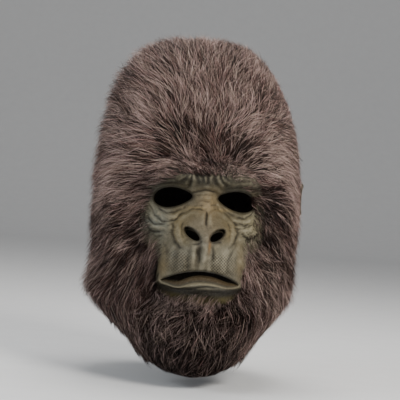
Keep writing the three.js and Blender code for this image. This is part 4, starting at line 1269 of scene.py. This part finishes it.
def strand_paths(turn, root, middle, values, segments, rng):
    """Turn, distance and share of its length at each point of each hair. A hair leaves its root at its lean,
    which grows along it and waves with its curl; it drifts with fine random wisps and closes up towards the
    middle of its lock."""
    count = len(turn)
    ground, past = FLOW.wall(turn, root), root - bare(turn)
    own = rng.uniform(*OWN_LENGTHS, count)
    length = hair_length(turn, past) * own * (LEAST_LENGTH + LOCK_GAIN * values[:, 0])
    loose = rng.uniform(0, 1, count) < LOOSE_SHARE
    lean = hair_lean(turn, ground, values, rng)
    lean = np.where(loose, lean + rng.normal(0, LOOSE_LEAN, count), lean)
    beside = FLOW.wall(turn + SMALL_TURN, root) - FLOW.wall(turn - SMALL_TURN, root)
    across = np.maximum(np.linalg.norm(beside, axis=1) / (2 * SMALL_TURN), LEAST_RADIUS)
    s = np.linspace(0, 1, segments + 1)[:, None]
    curl = rng.normal(0, CURL, count)
    angle = lean * (0.55 + 0.6 * s) + curl * np.sin(CURL_WAVE * s + rng.uniform(0, 6, count))
    step = length / segments
    ahead, sideways = running_sum(np.cos(angle)) * step, running_sum(np.sin(angle)) * step
    gather = np.where(loose, LOOSE_GATHER, GATHER) * rng.uniform(*OWN_GATHER, count)
    wisp = sum(part * ripple(ground, wave, seed) for part, wave, seed in WISPS)
    sideways = sideways + WISP_REACH * wisp * s**1.2
    turns = turn + np.sign(wrapped(turn)) * sideways / across + (middle - turn) * gather * s**1.3
    aside = 1 - smooth((np.abs(wrapped(turn)) - 2.25) / 0.3)
    spill = SPILL + aside * (SIDE_SPILL + LOCK_SPILL * values[:, 1] ** 2 * rng.uniform(0, 1, count))
    distance = np.minimum(root + ahead, FLOW.column(FLOW.total, turns) + spill)
    return turns, distance, s, loose


def strand_lines(turns, distance, s, loose, thin, values, rng):
    """Points along each hair and the way out of the fur there: it starts deep, rises by a power of its share
    to the fur's outer form, leans left with the fur and droops; where the fur is thin it lies low."""
    count = len(loose)
    depth = FLOW.depth(turns, np.maximum(distance, 0))
    low_end = rng.uniform(*LOW_ENDS, count)
    lift = LIFT + LOCK_LIFT * values[:, 1] + rng.normal(0, OWN_LIFT, count)
    lift = np.minimum(lift + np.where(loose, rng.uniform(0, LOOSE_LIFT, count), 0), HIGHEST_LIFT)
    height = depth * (low_end + (lift - low_end) * s**0.8)
    height = height * (0.35 + 0.65 * thin) + (1 - thin) * (1.5 + 4.5 * s)
    wall = FLOW.wall(turns, distance)
    away = outward(wall)
    line = leaned(wall + away * height[..., None], height / depth)
    line[..., 2] -= np.where(loose, LOOSE_FALL, HAIR_FALL) * s**2
    tuft = bell(line[..., 2], -TUFT_DROP, 20) * smooth((-65 - line[..., 0]) / 35)
    line[..., 0] -= TUFT_REACH * tuft * np.clip(height / depth, 0, 1)
    return line, away


def ribbons(name, line, side, width):
    """Mesh of flat ribbons along lines: the line plus and less the width along the side, and one point at
    the tip."""
    count, segments = line.shape[1], line.shape[0] - 1
    left, right = line - side * width[..., None], line + side * width[..., None]
    body = np.stack([left[:-1], right[:-1]], 1).transpose(2, 0, 1, 3).reshape(count, 2 * segments, 3)
    points = np.concatenate([body, line[-1][:, None]], 1)
    base = (np.arange(count) * (2 * segments + 1))[:, None]
    quads = [base + np.array([[2 * k, 2 * k + 1, 2 * k + 3, 2 * k + 2]]) for k in range(segments - 1)]
    tips = base + np.array([[2 * segments - 2, 2 * segments - 1, 2 * segments]])
    return build_mesh(name, points.reshape(-1, 3), [np.concatenate(quads), tips])


def fur_strands(name, low, high, count, seed, segments):
    """Tapered ribbons along the paths of the hairs, each turned about its line by a random roll."""
    rng = np.random.default_rng(seed)
    turn, root = root_places(math.radians(low), math.radians(high), count, rng)
    middle, values = LOCKS.find(turn, root)
    turns, distance, s, loose = strand_paths(turn, root, middle, values, segments, rng)
    thin = smooth((root - bare(turn) + 4) / 14)
    line, away = strand_lines(turns, distance, s, loose, thin, values, rng)
    tangent = unit(np.gradient(line, axis=0))
    side = unit(np.cross(tangent, away))
    roll = rng.normal(0, RIBBON_TURN, count)[None, :, None]
    side = side * np.cos(roll) + np.cross(tangent, side) * np.sin(roll)
    # pale hairs, wider and paler: partly painted glints
    pale = rng.uniform(0, 1, count) < PALE_GLINT_SHARE
    width = rng.uniform(*HAIR_WIDTHS, count) * np.where(pale, PALE_GLINT_WIDTH, 1)
    width = width * (0.55 + 0.45 * thin) * (1 - s**2.5)
    piece = ribbons(name, line, side, width)
    tone, hue = hair_tone(turn, root, FLOW.wall(turn, root), values, rng)
    along = np.concatenate([np.repeat(s[:-1, 0], 2), [1.0]])
    u = (hue + np.clip(tone + PALE_GLINT_TONE * pale, 0.06, 0.94)) / HUES
    set_uv(piece, np.stack([np.repeat(u, len(along)), np.tile(0.02 + 0.96 * along, count)], -1))
    return piece


def hair_tone(turn, root, p, values, rng):
    """Tone and hue of a hair: tone lock by lock, patch by patch and hair by hair, paler high on the crown,
    over the brow and by the chin, darker low down, and darker at the temples as painted shade; the hue is
    drawn by patch."""
    tone = TONE + LOCK_TONE * (values[:, 2] - 0.5) + rng.normal(0, OWN_TONE, len(p))
    tone += 0.2 * ripple(p, 3.2, 24)
    tone += 0.09 * smooth((p[:, 2] + 150) / 60) - 0.38 * smooth((-230 - p[:, 2]) / 60)
    tone += 0.08 * ripple(p, 80, 21) + 0.12 * ripple(p, 20, 22)
    pick = 0.45 * ripple(p, 46, 23) + rng.normal(0.2, 1.0, len(p))
    # painted shade at the temples, stronger on the side of positive turn
    for side, amount in ((1, 0.3), (-1, 0.12)):
        tone -= amount * bell(side * wrapped(turn), 1.15, 0.5) * bell(root, 0, 26)
    level = np.abs(wrapped(turn))
    brow = 0.26 * bell(root, 36, 26) - 0.06 * bell(root, -4, 16)
    tone += brow * smooth((1.2 - level) / 0.5)
    tone += 0.22 * bell(root, 0, 16) * smooth((level - 2.2) / 0.4)
    return tone, np.clip(np.round(1 + pick), 0, HUES - 1)


def undercoat(name, low, high):
    """Closed body under the strands: the fur's form at a part of its depth, in locks, and its backing."""
    columns, rows = UNDERCOAT_GRID
    turn = np.linspace(math.radians(low + SECTOR_GAP), math.radians(high - SECTOR_GAP), columns)
    t, s = np.meshgrid(turn, np.linspace(0, 1, rows) ** 1.15, indexing="xy")
    start = UNDERCOAT_START * bare(t)
    distance = start + s * (FLOW.column(FLOW.total, t) - UNDERCOAT_END - start)
    values = LOCKS.find(t, distance)[1]
    share = UNDERCOAT_DEPTH + UNDERCOAT_LOCKS * values[..., 1]
    height = FLOW.depth(t, distance) * share * smooth(s * 12 + 0.3)
    wall = FLOW.wall(t, distance)
    away = outward(wall)
    outer = leaned(wall + away * height[..., None], share)
    backing = wall + away * BACKING_GAP
    edge = np.ones(t.shape, bool)
    edge[1:-1, 1:-1] = False
    outer[edge] = (wall + away * (0.5 * height)[..., None])[edge]
    points = np.concatenate([outer.reshape(-1, 3), backing.reshape(-1, 3)])
    size = columns * rows
    faces = [grid_quads(rows, columns, turn=True), grid_quads(rows, columns, first=size)]
    index = np.arange(size).reshape(rows, columns)
    rim = np.concatenate([index[0, :-1], index[:-1, -1], index[-1, :0:-1], index[:0:-1, 0]])
    onward = np.roll(rim, -1)
    faces.append(np.stack([rim, onward, onward + size, rim + size], -1))
    piece = build_mesh(name, points, [np.concatenate(faces)])
    uv = np.stack([(t - turn[0]) / (turn[-1] - turn[0]), s], -1).reshape(-1, 2)
    set_uv(piece, np.concatenate([uv * [0.7, 1], uv * [0.28, 1] + [0.71, 0]]))
    return piece


HUES = 4
HAIR_COLOURS = [
    # dark, middle and pale ends of each hue: grey brown, mauve brown, brown, red brown
    (srgb(24, 16, 12), srgb(102, 77, 65), srgb(222, 196, 183)),
    (srgb(26, 15, 13), srgb(107, 73, 66), srgb(221, 189, 182)),
    (srgb(22, 14, 11), srgb(92, 67, 55), srgb(196, 172, 158)),
    (srgb(26, 13, 11), srgb(100, 61, 54), srgb(196, 156, 148)),
]


def strand_finish(name, shade):
    """Hair colour by the strand's hue and tone across and its length along: dark roots, paler tips."""
    finish = Finish(name, 0.5, 0.04 + 0.17 * shade)
    parts = finish.node("SeparateXYZ", {0: finish.node("UVMap", uv_map="OFBake").outputs[0]})
    stops = []
    for k, colours in enumerate(HAIR_COLOURS):
        # the pale ends dim less than the rest, so pale hairs stay bright as painted glints, also in dark
        # sectors
        for at, colour, dim in zip((0.03, 0.5, 0.97), colours, (shade, shade, 0.66 + 0.3 * shade)):
            stops.append(((k + at) / HUES, tuple(dim * colour)))
    tone = finish.ramp(parts.outputs[0], stops)
    greys = ((0.0, 0.2), (0.4, 0.58), (1.0, 1.0))
    length = finish.ramp(parts.outputs[1], [(at, (grey,) * 3) for at, grey in greys])
    finish.to("Base Color", finish.mix(1.0, tone, length, "MULTIPLY"))
    return finish.material


def undercoat_finish(name, shade):
    """Dense short hair seen between the strands: streaks along the flow, with painted shade in the hollows of
    their bump.
    """
    finish = Finish(name, 0.8, 0.04 + 0.15 * shade)
    uv = finish.node("UVMap", uv_map="OFBake").outputs[0]
    stretched = finish.node("Mapping", {"Vector": uv, "Scale": (240.0, 9.0, 1.0)}).outputs[0]
    streak = finish.noise(1.0, stretched, 5, 0.65)
    dark, mid = srgb(14, 10, 8), srgb(48, 37, 32)
    finish.to("Base Color", finish.ramp(streak, [(0.3, tuple(shade * dark)), (0.75, tuple(shade * mid))]))
    finish.to("Normal", finish.bump(streak, 0.8, 0.002))
    return finish.material


# The shade dims each sector's hair and undercoat colours and shine, from the crown down to the near-black
# beard: partly the fur's darker colour low down, partly painted shade.
SECTORS = [
    # name, node, slot, from, to, hairs in each piece, segments, shade
    ("crown", "crown_fur", "crown_fur", -46, 46, (45000, 45000), 2, 0.7),
    ("side_left", "side_fur_left", "side_fur", -132, -46, (33000,), 3, 0.52),
    ("side_right", "side_fur_right", "side_fur", 46, 132, (33000,), 3, 0.52),
    ("beard", "chin_beard", "beard_fur", 132, 228, (24000,), 3, 0.11),
]


def fur_piece(name, node, slot, low, high, counts, segments, shade):
    """Undercoat and strands of one sector of the fur."""
    under = undercoat(name + "_undercoat", low, high)
    under.data.materials.append(undercoat_finish(name + "_undercoat", shade))
    coat = strand_finish(name + "_hair", shade)
    pieces = [under]
    for k, count in enumerate(counts):
        seed = SEED + 31 * k + len(name)
        hair = fur_strands(f"{name}_hair_{k + 1}", low - 1, high + 1, count, seed, segments)
        hair.data.materials.append(coat)
        pieces.append(hair)
    for piece in pieces:
        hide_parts(node)


for sector in SECTORS:
    fur_piece(*sector)
